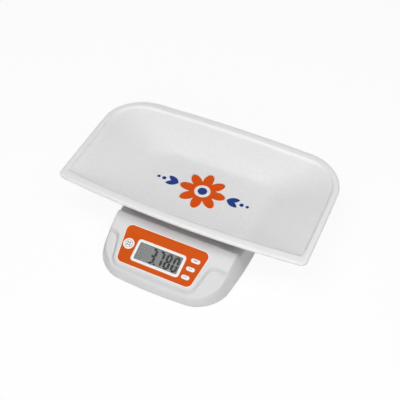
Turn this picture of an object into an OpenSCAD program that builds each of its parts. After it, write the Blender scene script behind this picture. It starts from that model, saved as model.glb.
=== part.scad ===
// Digital baby scale: a shallow tray resting on the platform of a low base with a tilted console.
// Millimetres, +Z up, floor at z = 0. The console looks towards -Y and the tray's length lies along X.

/* [Tray] */
// Length of the tray's rim, without the bow of its ends
tray_length = 554; // [480:2:620]
// Depth of the tray's rim from front to back, without the bow of its long edges
tray_width = 293; // [260:5:340]
// Height of the rim above the tray's floor
tray_depth = 53; // [40:1:70]
// Thickness of the tray's wall
tray_wall = 3.2; // [2.4:0.2:4]
// Corner radius of the rim at the back
tray_back_r = 88; // [60:2:110]
// Corner radius of the rim at the front
tray_front_r = 12; // [10:1:40]
// Bow of the rim's front edge
tray_front_bow = 15; // [5:1:20]
// Bow of the rim's back edge
tray_back_bow = 11; // [5:1:20]
// Bow of the rim's two ends
tray_end_bow = 1; // [0:1:6]
// Width of the rim's flat top along the front and the back
rim_width = 18; // [12:1:24]
// Width of the rim's flat top at the two ends
end_rim = 12; // [8:1:24]
// Drop of the rim's outer skirt
skirt_drop = 8; // [5:1:14]
// Length of the flat floor
floor_length = 275; // [220:5:320]
// Depth of the flat floor from front to back
floor_width = 180; // [120:2:190]
// Distance of the floor's middle ahead of the rim's middle
floor_ahead = 24; // [0:1:25]
// Overall width of the printed design
print_width = 220; // [140:5:240]

/* [Base] */
// Width of the base without the bow of its sides
base_width = 264; // [250:2:280]
// Bow of the base's two sides
base_side_bow = 22; // [10:1:30]
// Bow of the base's front edge
base_front_bow = 9; // [4:1:16]
// Corner radius of the base in plan
base_r = 54; // [40:2:70]
// Distance of the base's front edge ahead of the tray's middle
base_reach = 263; // [240:1:290]
// Distance of the base's back edge behind the tray's middle
base_behind = 125; // [112:1:140]
// Wall of the upper and lower covers
wall = 2.5; // [2:0.1:3]
// Inward lean of the base's walls, per millimetre of height
draft = 0.18; // [0.1:0.02:0.2]
// Gap left between moulded covers
cover_gap = 0.3; // [0.2:0.05:0.5]

/* [Console] */
// Rise of the console's back edge above the deck
console_rise = 19.5; // [16:0.5:24]
// Depth of the console from the base's front edge to its back edge
console_depth = 125; // [120:1:130]
// Tilt of the console's face
console_tilt = 18; // [14:0.5:19]
// Drop from the console's face to the lip round it
lip_drop = 6.5; // [5:0.5:9]
// Sideways place of the faceplate's middle
panel_x = -8; // [-14:1:0]
// Distance of the faceplate's middle from the base's front edge
panel_setback = 63; // [61:0.5:65]
// Width of the faceplate at its top
panel_top_w = 193; // [186:1:196]
// Width of the faceplate at its bottom
panel_bottom_w = 167; // [160:1:172]
// Depth of the faceplate along the slope
panel_depth = 86.5; // [82:0.5:88]
// Corner radius of the faceplate
panel_r = 14; // [8:1:18]
// Thickness of the faceplate
panel_t = 0.8; // [0.5:0.1:1.2]
// Diameter of the round badge
badge_d = 24; // [16:1:26]

/* [Display] */
// Width of the display window
window_w = 97; // [88:1:100]
// Depth of the display window
window_h = 38; // [34:1:42]
// Width of the display's frame
frame_border = 6; // [5:0.5:6.5]
// Height of one digit
digit_h = 34; // [26:1:36]
// Width of one digit
digit_w = 12.8; // [10:0.2:14]
// Distance from one digit to the next
digit_pitch = 17; // [16:0.5:20]
// Width of the strokes of a digit
stroke = 4; // [2:0.1:4]
// Thickness of the glass
glass_t = 2.6; // [2:0.1:3]

/* [Buttons] */
// Width of the upper button
button_w = 20; // [18:1:24]
// Depth of each button
button_h = 9; // [8:0.5:11]
// Distance from one button to the next, along the slope
button_pitch = 19.5; // [18:0.5:21]
// Travel of a button
button_travel = 0.7; // [0.4:0.1:1]
// Height of a button over the faceplate
button_proud = 1.2; // [1:0.1:2]

/* [Weighing unit] */
// Length of the load cell
cell_length = 130; // [110:2:140]
// Width of the load cell
cell_width = 30; // [24:1:36]
// Height of the load cell
cell_height = 22; // [18:1:24]
// Thickness of the spacers above and below the load cell
spacer_t = 3; // [2:0.5:5]
// Thickness of the two steel brackets
bracket_t = 2.5; // [2:0.5:4]
// Gap under the load cell's free end
stop_gap = 0.5; // [0.3:0.1:0.9]
// Length of the platform
platform_length = 236; // [210:2:250]
// Depth of the platform from front to back
platform_width = 146; // [120:2:156]
// Height of the platform with its ribs
platform_h = 7; // [6:0.5:10]
// Gap between the platform's ribs and the deck
platform_gap = 3.5; // [3:0.5:6]

/* [Batteries and feet] */
// Diameter of a battery
battery_d = 14.5; // [14:0.1:15]
// Length of a battery
battery_length = 50.5; // [48:0.5:52]
// Height of the rubber feet under the base
foot_h = 2.5; // [2:0.5:4]
// Radius of a rubber foot
foot_r = 11; // [8:1:13]

/* [Hidden] */
$fn = 48;

// colours of the finishes
white_plastic = [0.93, 0.93, 0.93];
tray_white = [0.96, 0.96, 0.96];
orange = [0.90, 0.33, 0.06];
blue = [0.12, 0.24, 0.55];
rubber_grey = [0.25, 0.25, 0.26];
steel = [0.72, 0.73, 0.75];
aluminium = [0.80, 0.81, 0.82];
board_green = [0.10, 0.38, 0.22];

over = 1;              // how far a cutting shape runs past what it cuts
thin = 0.01;           // thickness of the slabs that a drafted body spans

// heights above the floor, from the bottom up
plate_z = foot_h;
plate_top = plate_z + wall;
bracket_top = plate_top + bracket_t;
cell_z = bracket_top + spacer_t;
cell_top = cell_z + cell_height;
upper_bracket_z = cell_top + spacer_t;
upper_bracket_top = upper_bracket_z + bracket_t;
screw_head = 3.6;      // height of a load cell screw's head
deck_under = upper_bracket_top + screw_head + 2.4;
deck_z = deck_under + wall;
platform_z = deck_z + platform_gap;
platform_top = platform_z + platform_h;
pad_proud = 1.8;
floor_under = platform_top + pad_proud;
floor_z = floor_under + tray_wall;
rim_z = floor_z + tray_depth;
console_top = deck_z + console_rise;

// places in plan, from the middle of the tray
base_depth = base_reach + base_behind;
base_y = (base_behind - base_reach) / 2;
base_back = base_behind;
console_y = console_depth - base_reach;
panel_y = panel_setback - base_reach;
tray_back = tray_width / 2 + tray_back_bow;
// the origin lies under the middle of the whole object
shift_y = (base_reach - tray_back) / 2;

// a place across the console's face: u to the right, v up the slope, w out of the face
panel_z = console_top - (console_y - panel_y) * tan(console_tilt);
module at_tray() { translate([0, shift_y, 0]) children(); }
module on_console() {
    at_tray() translate([panel_x, panel_y, panel_z]) rotate([console_tilt, 0, 0]) children();
}
function console_point(u, v, w) = [
    panel_x + u,
    panel_y + v * cos(console_tilt) - w * sin(console_tilt),
    panel_z + v * sin(console_tilt) + w * cos(console_tilt)
];

// ---- outlines ----

// one rounded corner: an arc from the side that comes in to the side that leaves
function corner_arc(before, at, after, r, steps) =
    let (
        a = (before - at) / norm(before - at),
        b = (after - at) / norm(after - at),
        half = acos(a * b) / 2,
        centre = at + (a + b) / norm(a + b) * r / sin(half),
        start = at + a * r / tan(half) - centre,
        end = at + b * r / tan(half) - centre,
        turn = atan2(start.x * end.y - start.y * end.x, start * end)
    )
    [for (i = [0:steps])
        let (t = turn * i / steps)
        centre + [start.x * cos(t) - start.y * sin(t), start.x * sin(t) + start.y * cos(t)]];

// an outline whose corners are all rounded, each with its own radius
function rounded(points, radii, steps = 8) =
    let (n = len(points))
    [for (i = [0:n - 1])
        each corner_arc(points[(i + n - 1) % n], points[i], points[(i + 1) % n], radii[i], steps)];

// a trapezoid round the origin, wider at the top, with rounded corners
function trapezoid(top_w, bottom_w, depth, r) =
    rounded([[-bottom_w, -depth] / 2, [bottom_w, -depth] / 2, [top_w, depth] / 2, [-top_w, depth] / 2],
        [r, r, r, r]);

// a rounded rectangle with its sides bowed out; it runs round from the right end's middle
function quarter(a, b, r, sx, sy, from, steps) =
    [for (i = [0:steps])
        let (t = from + 90 * i / steps)
        [sx * (a - r) + r * cos(t), sy * (b - r) + r * sin(t)]];
function between(p, q, steps) = [for (i = [1:steps - 1]) p + (q - p) * i / steps];
function plain_outline(a, b, front_r, back_r, steps) =
    let (
        rb = quarter(a, b, back_r, 1, 1, 0, steps),
        lb = quarter(a, b, back_r, -1, 1, 90, steps),
        lf = quarter(a, b, front_r, -1, -1, 180, steps),
        rf = quarter(a, b, front_r, 1, -1, 270, steps)
    )
    concat(rb, between(rb[steps], lb[0], steps), lb, between(lb[steps], lf[0], steps),
        lf, between(lf[steps], rf[0], steps), rf, between(rf[steps], rb[0], steps));
function bowed(points, a, b, front_bow, back_bow, end_bow) =
    [for (p = points)
        let (
            long = 1 - pow(p.x / a, 2),
            short = 1 - pow(p.y / b, 2),
            bow = p.y > 0 ? back_bow : front_bow
        )
        [p.x + end_bow * short * p.x / a, p.y + bow * long * p.y / b]];

// the base's outline, set in from the outer face at the floor
function base_outline(inset) =
    let (
        a = base_width / 2 - inset,
        b = (base_depth - base_front_bow) / 2 - inset,
        r = max(base_r - inset, 5)
    )
    [for (p = bowed(plain_outline(a, b, r, r, 8), a, b, base_front_bow, 0, base_side_bow))
        p + [0, base_y + base_front_bow / 2]];

// ---- shared shapes ----

// a bar with round ends, along X
module stadium(w, h, t) {
    translate([-(w - h) / 2, -h / 2, 0]) cube([w - h, h, t]);
    for (side = [-1, 1]) translate([side * (w - h) / 2, 0, 0]) cylinder(h = t, d = h);
}

module rounded_box(size, r, z) {
    corner = [size.x, size.y] / 2;
    linear_extrude(z)
        polygon(rounded([-corner, [corner.x, -corner.y], corner, [-corner.x, corner.y]], [r, r, r, r]));
}

// a screw with its head at the origin and its shank pointing down
module screw(head_d, head_h, shank_d, length) {
    cylinder(h = head_h, d = head_d);
    translate([0, 0, -length]) cylinder(h = length, d = shank_d);
}

// a tube swept along a path, with a ring of points square to the path at each stop
function path_way(path, i) =
    let (a = path[max(i - 1, 0)], b = path[min(i + 1, len(path) - 1)])
    (b - a) / norm(b - a);
module tube(path, d, sides = 8) {
    n = len(path);
    points = [
        for (i = [0:n - 1])
            let (
                way = path_way(path, i),
                ref = abs(way.z) > 0.9 ? [1, 0, 0] : [0, 0, 1],
                side = cross(way, ref) / norm(cross(way, ref)),
                up = cross(side, way)
            )
            for (k = [0:sides - 1])
                let (t = 360 * k / sides)
                path[i] + (side * cos(t) + up * sin(t)) * d / 2
    ];
    walls = [
        for (i = [0:n - 2], k = [0:sides - 1])
            let (next = (k + 1) % sides, a = i * sides, b = a + sides)
            each [[a + k, b + k, b + next], [a + k, b + next, a + next]]
    ];
    caps = [[for (k = [0:sides - 1]) k], [for (k = [sides - 1:-1:0]) (n - 1) * sides + k]];
    polyhedron(points, concat(walls, caps));
}

// points along a smooth curve through the given stops
function curve_point(a, b, c, d, t) =
    (2 * b + (c - a) * t + (2 * a - 5 * b + 4 * c - d) * t * t + (3 * b - a - 3 * c + d) * t * t * t) / 2;
function curve(stops, steps) =
    let (n = len(stops))
    [for (i = [0:n - 2], k = [0:steps - 1])
        curve_point(stops[max(i - 1, 0)], stops[i], stops[i + 1], stops[min(i + 2, n - 1)], k / steps),
        stops[n - 1]];

// a closed solid between a stack of outlines that all have the same number of points
function middle(ring) = [for (i = [0:len(ring) - 1]) 1] * ring / len(ring);
module loft(rings) {
    n = len(rings[0]);
    last = len(rings) - 1;
    count = n * len(rings);
    points = concat([for (ring = rings) each ring], [middle(rings[0]), middle(rings[last])]);
    walls = [
        for (i = [0:last - 1], k = [0:n - 1])
            let (next = (k + 1) % n, a = i * n, b = a + n)
            each [[a + k, b + next, a + next], [a + k, b + k, b + next]]
    ];
    caps = [
        for (k = [0:n - 1])
            let (next = (k + 1) % n)
            each [[count, k, next], [count + 1, last * n + next, last * n + k]]
    ];
    polyhedron(points, concat(walls, caps));
}

// ---- upper cover ----

face_slope = tan(console_tilt);
block_depth = 44;                   // depth of the console's full-width block
block_front = console_y - block_depth;
tongue_side = 9;                    // face left at the faceplate's two sides
tongue_foot = 5;                    // face left below the faceplate
tongue_spread = 4;                  // how far the tongue's sides spread down to the lip
tongue_r = 20;

// the drafted body of the base, set in from its outer face
module case_body(inset) {
    low = inset > 0 ? -over : plate_z;
    hull() {
        translate([0, 0, low]) linear_extrude(thin)
            polygon(base_outline(inset + draft * (low - plate_z)));
        translate([0, 0, console_top]) linear_extrude(thin)
            polygon(base_outline(inset + draft * (console_top - plate_z)));
    }
}

// everything below the deck and the lip
module low_profile(inset) {
    lip_back = console_top - (lip_drop + inset) / cos(console_tilt);
    run = console_depth + over;
    translate([-base_width, 0, 0]) rotate([90, 0, 90]) linear_extrude(2 * base_width) polygon([
        [console_y - run, -2 * over],
        [base_back + over, -2 * over],
        [base_back + over, deck_z - inset],
        [console_y - inset, deck_z - inset],
        [console_y - inset, lip_back - inset * face_slope],
        [console_y - run, lip_back - run * face_slope]
    ]);
}

// the block behind the faceplate and the tongue that carries it
module high_profile(inset) {
    deep = lip_drop + console_top;
    back_v = (console_y - panel_y) / cos(console_tilt);
    front_v = (block_front - panel_y) / cos(console_tilt) + inset;
    translate([panel_x, panel_y, panel_z]) rotate([console_tilt, 0, 0]) {
        translate([-base_width, front_v, -deep])
            cube([2 * base_width, back_v - front_v + deep, deep - inset]);
        hull() {
            translate([0, 0, -inset - thin]) linear_extrude(thin) tongue_outline(-inset);
            translate([0, 0, -lip_drop - 3]) linear_extrude(thin) tongue_outline(tongue_spread - inset);
        }
    }
}
module tongue_outline(grow) {
    top_rise = 8;                   // the tongue runs up into the block
    foot = tongue_foot + grow;
    wider = 2 * (tongue_side + grow);
    depth = panel_depth + foot + top_rise;
    translate([0, (top_rise - foot) / 2])
        polygon(trapezoid(panel_top_w + wider, panel_bottom_w + wider, depth, tongue_r));
}

module case_form(inset) {
    intersection() {
        case_body(inset);
        union() {
            low_profile(inset);
            intersection() {
                high_profile(inset);
                translate([-base_width, -base_reach - over, -2 * over])
                    cube([2 * base_width, base_reach + over + console_y - inset, console_top + 3 * over]);
            }
        }
    }
}

// underside of the lip or the deck over a place
function roof_z(y) = y > console_y ? deck_under
    : console_top - lip_drop / cos(console_tilt) + (y - console_y) * face_slope - wall;
boss_bury = 1.1;                    // how far a boss reaches into the roof
boss_low = plate_top + 5;

unit_y = -10;                       // middle of the weighing unit
case_screw_d = 3;
case_screw_places = [for (sx = [-1, 1]) each [
    [sx * (base_width / 2 - 17), block_front + 6],
    [sx * (base_width / 2 - 11), unit_y - 20],
    [sx * (base_width / 2 - 25), base_back - 41]
]];
post_x = 84;                        // platform posts, either side of the middle
post_y = 34;
post_d = 14;
post_hole_d = 20;
post_places = [for (sx = [-1, 1], sy = [-1, 1]) [sx * post_x, unit_y + sy * post_y]];

board_w = -8;                       // upper face of the main board, below the console's face
board_t = 1.6;
board_screw_places = [[-72, 28], [72, 28], [-68, -33], [78, -33]];
board_boss_d = 6;

module upper_cover() {
    color(white_plastic) {
        at_tray() difference() {
            union() {
                difference() {
                    case_form(0);
                    case_form(wall);
                }
                for (p = case_screw_places)
                    translate([p.x, p.y, boss_low]) cylinder(h = roof_z(p.y) + boss_bury - boss_low, d = 8);
                translate([panel_x, panel_y, panel_z]) rotate([console_tilt, 0, 0])
                    for (p = board_screw_places)
                        translate([p.x, p.y, board_w]) cylinder(h = -board_w - 1, d = board_boss_d);
            }
            for (p = case_screw_places)
                translate([p.x, p.y, boss_low - over]) cylinder(h = 12 + over, d = case_screw_d + 0.1);
            for (p = post_places)
                translate([p.x, p.y, deck_under - over]) cylinder(h = wall + 2 * over, d = post_hole_d);
            translate([panel_x, panel_y, panel_z]) rotate([console_tilt, 0, 0]) console_cuts();
            door_opening(0.4);
        }
    }
}

// recess of the faceplate, window, button holes and screw pilots
label_recess = 0.5;
module console_cuts() {
    translate([0, 0, -label_recess]) linear_extrude(over + label_recess)
        polygon(trapezoid(panel_top_w + 0.4, panel_bottom_w + 0.4, panel_depth + 0.4, panel_r + 0.2));
    translate([display_u, display_v, -wall - over])
        rounded_box([window_w, window_h], 2, wall + 2 * over);
    for (i = [0:2]) translate([button_place(i).x, button_place(i).y, -wall - over])
        stadium(button_size(i) + 2 * button_gap, button_h + 2 * button_gap, wall + 2 * over);
    for (p = board_screw_places)
        translate([p.x, p.y, board_w - over]) cylinder(h = 5 + over, d = 2.1);
}

// ---- lower cover ----

battery_gap = 0.5;
battery_pitch = battery_d + battery_gap;
battery_row = 4 * battery_pitch;
box_wall = 2;
door_ledge = 2.1;                   // height of the way that the door's tongues slide in
box_top = plate_top + door_ledge + battery_d + 1.4;
box_back = base_back - wall - draft * (box_top + box_wall - plate_z) - box_wall - 1;
box_front = box_back - battery_row - 2;
box_half = battery_length / 2 + 6.5;
door_half = box_half - 2;
door_lip_h = 9;
door_tongue_t = 1.6;

// the gap in the back wall and in the lower cover that the door fills
module door_opening(gap) {
    translate([-box_half - gap, base_back - 8, -over])
        cube([2 * (box_half + gap), 8 + over, plate_z + door_lip_h + over + gap]);
}

module lower_cover() {
    rim = 2;                        // the rim that stands inside the upper cover
    rim_top = plate_top + 6;
    rim_inset = wall + cover_gap + draft * (rim_top - plate_z);
    color(white_plastic) at_tray() difference() {
        union() {
            translate([0, 0, plate_z]) linear_extrude(wall)
                polygon(base_outline(wall + cover_gap + draft * wall));
            translate([0, 0, plate_top - thin]) difference() {
                linear_extrude(rim_top - plate_top + thin) polygon(base_outline(rim_inset));
                translate([0, 0, -over]) linear_extrude(rim_top - plate_top + 2 * over)
                    polygon(base_outline(rim_inset + rim));
            }
            for (p = case_screw_places)
                translate([p.x, p.y, plate_z]) cylinder(h = boss_low - plate_z, d = 10);
            // battery box
            translate([-box_half - box_wall, box_front - box_wall, plate_top - thin]) cube([
                2 * (box_half + box_wall),
                box_back - box_front + 2 * box_wall,
                box_top + box_wall - plate_top
            ]);
        }
        for (p = case_screw_places) {
            translate([p.x, p.y, plate_z - over]) cylinder(h = 12, d = case_screw_d + 0.4);
            translate([p.x, p.y, plate_z - over]) cylinder(h = screw_seat + over, d = 7);
        }
        for (p = foot_places)
            translate([p.x, p.y, plate_z - over]) cylinder(h = wall + 2 * over, d = foot_stem_d + 0.2);
        for (x = cell_screw_low)
            translate([x, unit_y, plate_z - over]) cylinder(h = wall + 2 * over, d = 12);
        for (p = bracket_screw_places)
            translate([p.x, p.y, plate_z + 0.5]) cylinder(h = wall, d = 3.1);
        // inside of the battery box, and the way that the door slides in
        translate([-box_half, box_front, plate_top])
            cube([2 * box_half, box_back - box_front, box_top - plate_top]);
        translate([-box_half, box_front, plate_top])
            cube([2 * box_half, base_back - box_front + over, door_ledge]);
        translate([-door_half - 0.3, box_front + 2, plate_z - over])
            cube([2 * (door_half + 0.3), base_back - box_front, wall + over + thin]);
        door_opening(0.4);
    }
}
screw_seat = 3.5;
foot_stem_d = 7;
foot_places = [for (sx = [-1, 1]) each [
    [sx * (base_width / 2 - 37), 41 - base_reach],
    [sx * (base_width / 2 - 33), base_back - 25]
]];

module rubber_feet() {
    color(rubber_grey) at_tray() for (p = foot_places) translate([p.x, p.y, 0]) {
        cylinder(h = foot_h, r = foot_r);
        translate([0, 0, foot_h - thin]) cylinder(h = wall + thin, d = foot_stem_d);
        translate([0, 0, plate_top]) cylinder(h = 2.5, d1 = foot_stem_d + 2.4, d2 = foot_stem_d - 2);
    }
}

module case_screws() {
    color(steel) at_tray() for (p = case_screw_places)
        translate([p.x, p.y, plate_z + screw_seat]) rotate([180, 0, 0]) screw(6, 2, case_screw_d, 14);
}

// ---- console pieces ----

button_gap = 0.3;                   // gap round a button in its hole
display_u = -3;
display_v = -6;
frame_w = window_w + 2 * frame_border;
frame_h = window_h + 2 * frame_border;
badge_u = -74;
badge_v = 0.5;

// the three buttons stand in a row down the right side and follow its slant
button_first = [71.5, 15.5];         // place of the upper button on the face
button_slant = 3;                   // how far each next button stands to the left
button_step = 1.2;                  // how much narrower each next button is
function button_size(i) = button_w - button_step * i;
function button_place(i) = [button_first.x - button_slant * i, button_first.y - button_pitch * i];

module panel_label() {
    color(orange) on_console() difference() {
        translate([0, 0, -label_recess]) linear_extrude(panel_t)
            polygon(trapezoid(panel_top_w, panel_bottom_w, panel_depth, panel_r));
        translate([display_u, display_v, -label_recess - over])
            rounded_box([frame_w + 0.4, frame_h + 0.4], 7.2, panel_t + 2 * over);
        for (i = [0:2]) translate([button_place(i).x, button_place(i).y, -label_recess - over])
            stadium(button_size(i) + 2 * button_gap, button_h + 2 * button_gap, panel_t + 2 * over);
    }
}

module badge_disc() {
    color(white_plastic) on_console()
        translate([badge_u, badge_v, panel_t - label_recess]) cylinder(h = 0.5, d = badge_d);
}

frame_proud = 1.2;
lens_t = 1;
module display_frame() {
    color(white_plastic) on_console() translate([display_u, display_v, -label_recess]) difference() {
        rounded_box([frame_w, frame_h], 7, label_recess + frame_proud);
        translate([0, 0, -over])
            rounded_box([window_w, window_h], 2, 2 * over + label_recess + frame_proud);
        translate([0, 0, -over]) rounded_box([window_w + 5, window_h + 5], 3, lens_t + over);
    }
}

module display_lens() {
    color([0.75, 0.80, 0.82, 0.4]) on_console() translate([display_u, display_v, -label_recess])
        rounded_box([window_w + 4.6, window_h + 4.6], 2.8, lens_t - 0.05);
}

glass_low = -wall - glass_t - 0.1;
module display_glass() {
    color([0.58, 0.60, 0.62]) on_console()
        translate([display_u - (window_w + 6) / 2, display_v - (window_h + 7) / 2, glass_low])
            cube([window_w + 6, window_h + 7, glass_t]);
}

// seven-segment digits; each digit lists which of its segments are dark, from the top clockwise
segments = [
    [1, 1, 1, 1, 0, 0, 1],
    [1, 1, 1, 0, 0, 0, 0],
    [1, 1, 1, 1, 1, 1, 1],
    [1, 1, 1, 1, 1, 1, 0]
];
segment_t = 0.12;
segment_gap = 0.25;                 // half the gap where two segments meet
module segment_bar(length) {
    half = stroke / 2;
    start = segment_gap;
    end = length - segment_gap;
    polygon([
        [start, 0], [start + half, half], [end - half, half],
        [end, 0], [end - half, -half], [start + half, -half]
    ]);
}
module digit(lit) {
    inner_w = digit_w - stroke;
    half_h = (digit_h - stroke) / 2;
    starts = [[0, 2 * half_h], [inner_w, half_h], [inner_w, 0], [0, 0], [0, 0], [0, half_h], [0, half_h]];
    for (i = [0:6]) if (lit[i] == 1) {
        upright = (i == 1 || i == 2 || i == 4 || i == 5);
        translate(starts[i]) rotate(upright ? 90 : 0) segment_bar(upright ? half_h : inner_w);
    }
}
module display_digits() {
    margin = 4;
    last = window_w / 2 - margin - digit_w + stroke / 2;
    color([0.06, 0.06, 0.07]) on_console()
        translate([display_u, display_v - (digit_h - stroke) / 2, glass_low + glass_t])
            linear_extrude(segment_t) {
                for (k = [0:3]) translate([last - (3 - k) * digit_pitch, 0]) digit(segments[k]);
                translate([last - 2 * digit_pitch - stroke - 0.9, -stroke / 2])
                    square([stroke - 1, stroke - 0.6]);
            }
}

holder_w = window_w + 14;
holder_h = window_h + 14;
module display_holder() {
    color([0.85, 0.85, 0.83]) on_console() translate([display_u, display_v, board_w]) difference() {
        rounded_box([holder_w, holder_h], 3, -board_w - wall - 0.1);
        translate([-(window_w + 6.4) / 2, -(window_h + 7.4) / 2, -over])
            cube([window_w + 6.4, window_h + 7.4, -board_w + over]);
    }
}

module contact_strips() {
    color(rubber_grey) on_console() for (side = [-1, 1])
        translate([display_u - window_w / 2, display_v + side * (window_h / 2 + 1) - 1.25, board_w])
            cube([window_w, 2.5, glass_low - board_w]);
}

board_size = [164, 74];
module main_board() {
    color(board_green) on_console() difference() {
        translate([-board_size.x / 2, -board_size.y / 2, board_w - board_t])
            cube([board_size.x, board_size.y, board_t]);
        for (p = board_screw_places)
            translate([p.x, p.y, board_w - board_t - over]) cylinder(h = board_t + 2 * over, d = 2.4);
    }
}

under_board = board_w - board_t;
controller = [14, 14, 1.6];
converter = [10, 6, 1.6];
capacitor = [6, 4];                 // diameter and height
resistor = [3.2, 1.8, 1.2];
module hanging(place, size) { translate([place.x, place.y, -size.z]) cube(size); }
module board_chips() {
    color([0.12, 0.12, 0.13]) on_console() translate([0, 0, under_board]) {
        hanging([-30, -6], controller);
        hanging([10, 2], converter);
        translate([34, -16, -capacitor[1]]) cylinder(h = capacitor[1], d = capacitor[0]);
        for (i = [0:3]) hanging([6 * i - 6, -18], resistor);
    }
}

connector = [9, 6, 6];
cell_plug_u = -30;
battery_plug_u = -52;
plug_v = 26;
module board_connectors() {
    color([0.92, 0.90, 0.84]) on_console() for (u = [cell_plug_u, battery_plug_u])
        translate([u - connector.x / 2, plug_v - connector.y / 2, under_board - connector.z])
            cube(connector);
}

buzzer_d = 12;
buzzer_h = 5.5;
buzzer_hole_d = 2;
module buzzer() {
    color([0.1, 0.1, 0.1]) on_console() translate([50, 20, under_board - buzzer_h]) difference() {
        cylinder(h = buzzer_h, d = buzzer_d);
        translate([0, 0, -over]) cylinder(h = buzzer_h / 3 + over, d = buzzer_hole_d);
    }
}

switch_size = 6;
switch_h = 2.6;
plunger_h = 0.6;
plunger_d = 3.4;
module tact_switches() {
    color([0.2, 0.2, 0.2]) on_console() for (i = [0:2])
        translate([button_place(i).x, button_place(i).y, board_w]) {
            translate([-switch_size / 2, -switch_size / 2, 0]) cube([switch_size, switch_size, switch_h]);
            cylinder(h = switch_h + plunger_h, d = plunger_d);
        }
}

module board_screws() {
    color(steel) on_console() for (p = board_screw_places)
        translate([p.x, p.y, under_board]) rotate([180, 0, 0]) screw(4, 1.6, 2, 5);
}

// a button: cap, retaining flange under the cover, and stem down to its switch
button_top = panel_t - label_recess + button_proud;
flange_t = 0.9;
flange_grow = 1.2;
stem_d = 4;
module button(i) {
    flange_low = -wall - flange_t - 0.1;
    stem_low = board_w + switch_h + plunger_h + button_travel + 0.1;
    color(white_plastic) on_console() translate([button_place(i).x, button_place(i).y, 0]) {
        translate([0, 0, flange_low]) stadium(button_size(i), button_h, button_top - flange_low);
        translate([0, 0, flange_low])
            stadium(button_size(i) + 2 * flange_grow, button_h + 2 * flange_grow, flange_t);
        translate([0, 0, min(stem_low, flange_low)])
            cylinder(h = max(flange_low - stem_low, 0) + flange_t, d = stem_d);
    }
}
module power_button() { button(0); }
module hold_button() { button(1); }
module tare_button() { button(2); }

// ---- weighing unit ----

bracket_size = [cell_length + 10, 70];
cell_screw_inset = [10, 25];        // the two screws at each end of the load cell
cell_screw_low = [for (d = cell_screw_inset) -cell_length / 2 + d];
cell_screw_high = [for (d = cell_screw_inset) cell_length / 2 - d];
bracket_screw_places = [for (sx = [-1, 1], sy = [-1, 1])
    [sx * (bracket_size.x / 2 - 7), unit_y + sy * (bracket_size.y / 2 - 7)]];
cell_screw_d = 6;
cell_screw_depth = 12;              // how far a load cell screw runs into the load cell
spacer_length = 35;

module at_unit() { at_tray() translate([0, unit_y, 0]) children(); }

module lower_bracket() {
    color(steel) at_tray() difference() {
        translate([0, unit_y, plate_top]) rounded_box(bracket_size, 6, bracket_t);
        for (p = bracket_screw_places)
            translate([p.x, p.y, plate_top - over]) cylinder(h = bracket_t + 2 * over, d = 3.4);
        for (x = cell_screw_low)
            translate([x, unit_y, plate_top - over])
                cylinder(h = bracket_t + 2 * over, d = cell_screw_d + 0.4);
        translate([stop_x, unit_y, plate_top - over]) cylinder(h = bracket_t + 2 * over, d = stop_d + 0.1);
    }
}
stop_x = cell_length / 2 - 12;
stop_d = 4;

module bracket_screws() {
    color(steel) at_tray() for (p = bracket_screw_places)
        translate([p.x, p.y, bracket_top]) screw(6, 2, 3, bracket_t + 1.9);
}

module spacer(x) {
    difference() {
        translate([x - spacer_length / 2, -cell_width / 2, 0]) cube([spacer_length, cell_width, spacer_t]);
        for (d = [-7.5, 7.5])
            translate([x + d, 0, -over]) cylinder(h = spacer_t + 2 * over, d = cell_screw_d + 0.4);
    }
}
spacer_x = cell_length / 2 - spacer_length / 2;
module lower_spacer() { color(aluminium) at_unit() translate([0, 0, bracket_top]) spacer(-spacer_x); }
module upper_spacer() { color(aluminium) at_unit() translate([0, 0, cell_top]) spacer(spacer_x); }

// a beam with two joined round windows, which lets it bend as a parallelogram
module load_cell() {
    window_r = cell_height * 0.32;
    window_x = 13;
    color(aluminium) at_unit() difference() {
        translate([-cell_length / 2, -cell_width / 2, cell_z]) cube([cell_length, cell_width, cell_height]);
        for (x = [-window_x, window_x]) translate([x, -cell_width / 2 - over, cell_z + cell_height / 2])
            rotate([-90, 0, 0]) cylinder(h = cell_width + 2 * over, r = window_r);
        translate([-window_x, -cell_width / 2 - over, cell_z + cell_height / 2 - 3])
            cube([2 * window_x, cell_width + 2 * over, 6]);
        for (x = cell_screw_low) translate([x, 0, cell_z - over])
            cylinder(h = cell_screw_depth + 2 + over, d = cell_screw_d + 0.1);
        for (x = cell_screw_high) translate([x, 0, cell_top - cell_screw_depth - 2])
            cylinder(h = cell_screw_depth + 2 + over, d = cell_screw_d + 0.1);
    }
}

module gauge_sealant() {
    color([0.9, 0.9, 0.88]) at_unit() for (z = [cell_top, cell_z - 1.2])
        translate([-22, -cell_width / 2 + 5, z]) cube([40, cell_width - 10, 1.2]);
}

module load_cell_screws() {
    head_low = 2.2;
    color([0.2, 0.2, 0.22]) at_unit() {
        for (x = cell_screw_low) translate([x, 0, plate_top]) rotate([180, 0, 0])
            screw(10, head_low, cell_screw_d, cell_z - plate_top + cell_screw_depth);
        for (x = cell_screw_high) translate([x, 0, upper_bracket_top])
            screw(10, screw_head, cell_screw_d, upper_bracket_top - cell_top + cell_screw_depth);
    }
}

module overload_stop() {
    color(steel) at_unit() translate([stop_x, 0, plate_top]) {
        cylinder(h = cell_z - stop_gap - plate_top, d = stop_d);
        translate([0, 0, bracket_t]) cylinder(h = cell_z - stop_gap - bracket_top, d = 7, $fn = 6);
    }
}

upper_size = [2 * post_x + post_d + 4, 2 * post_y + post_d + 4];
module upper_bracket() {
    color(steel) at_tray() difference() {
        translate([0, unit_y, upper_bracket_z]) rounded_box(upper_size, 8, bracket_t);
        for (p = post_places)
            translate([p.x, p.y, upper_bracket_z - over]) cylinder(h = bracket_t + 2 * over, d = 4.4);
        for (x = cell_screw_high)
            translate([x, unit_y, upper_bracket_z - over])
                cylinder(h = bracket_t + 2 * over, d = cell_screw_d + 0.4);
    }
}

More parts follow.
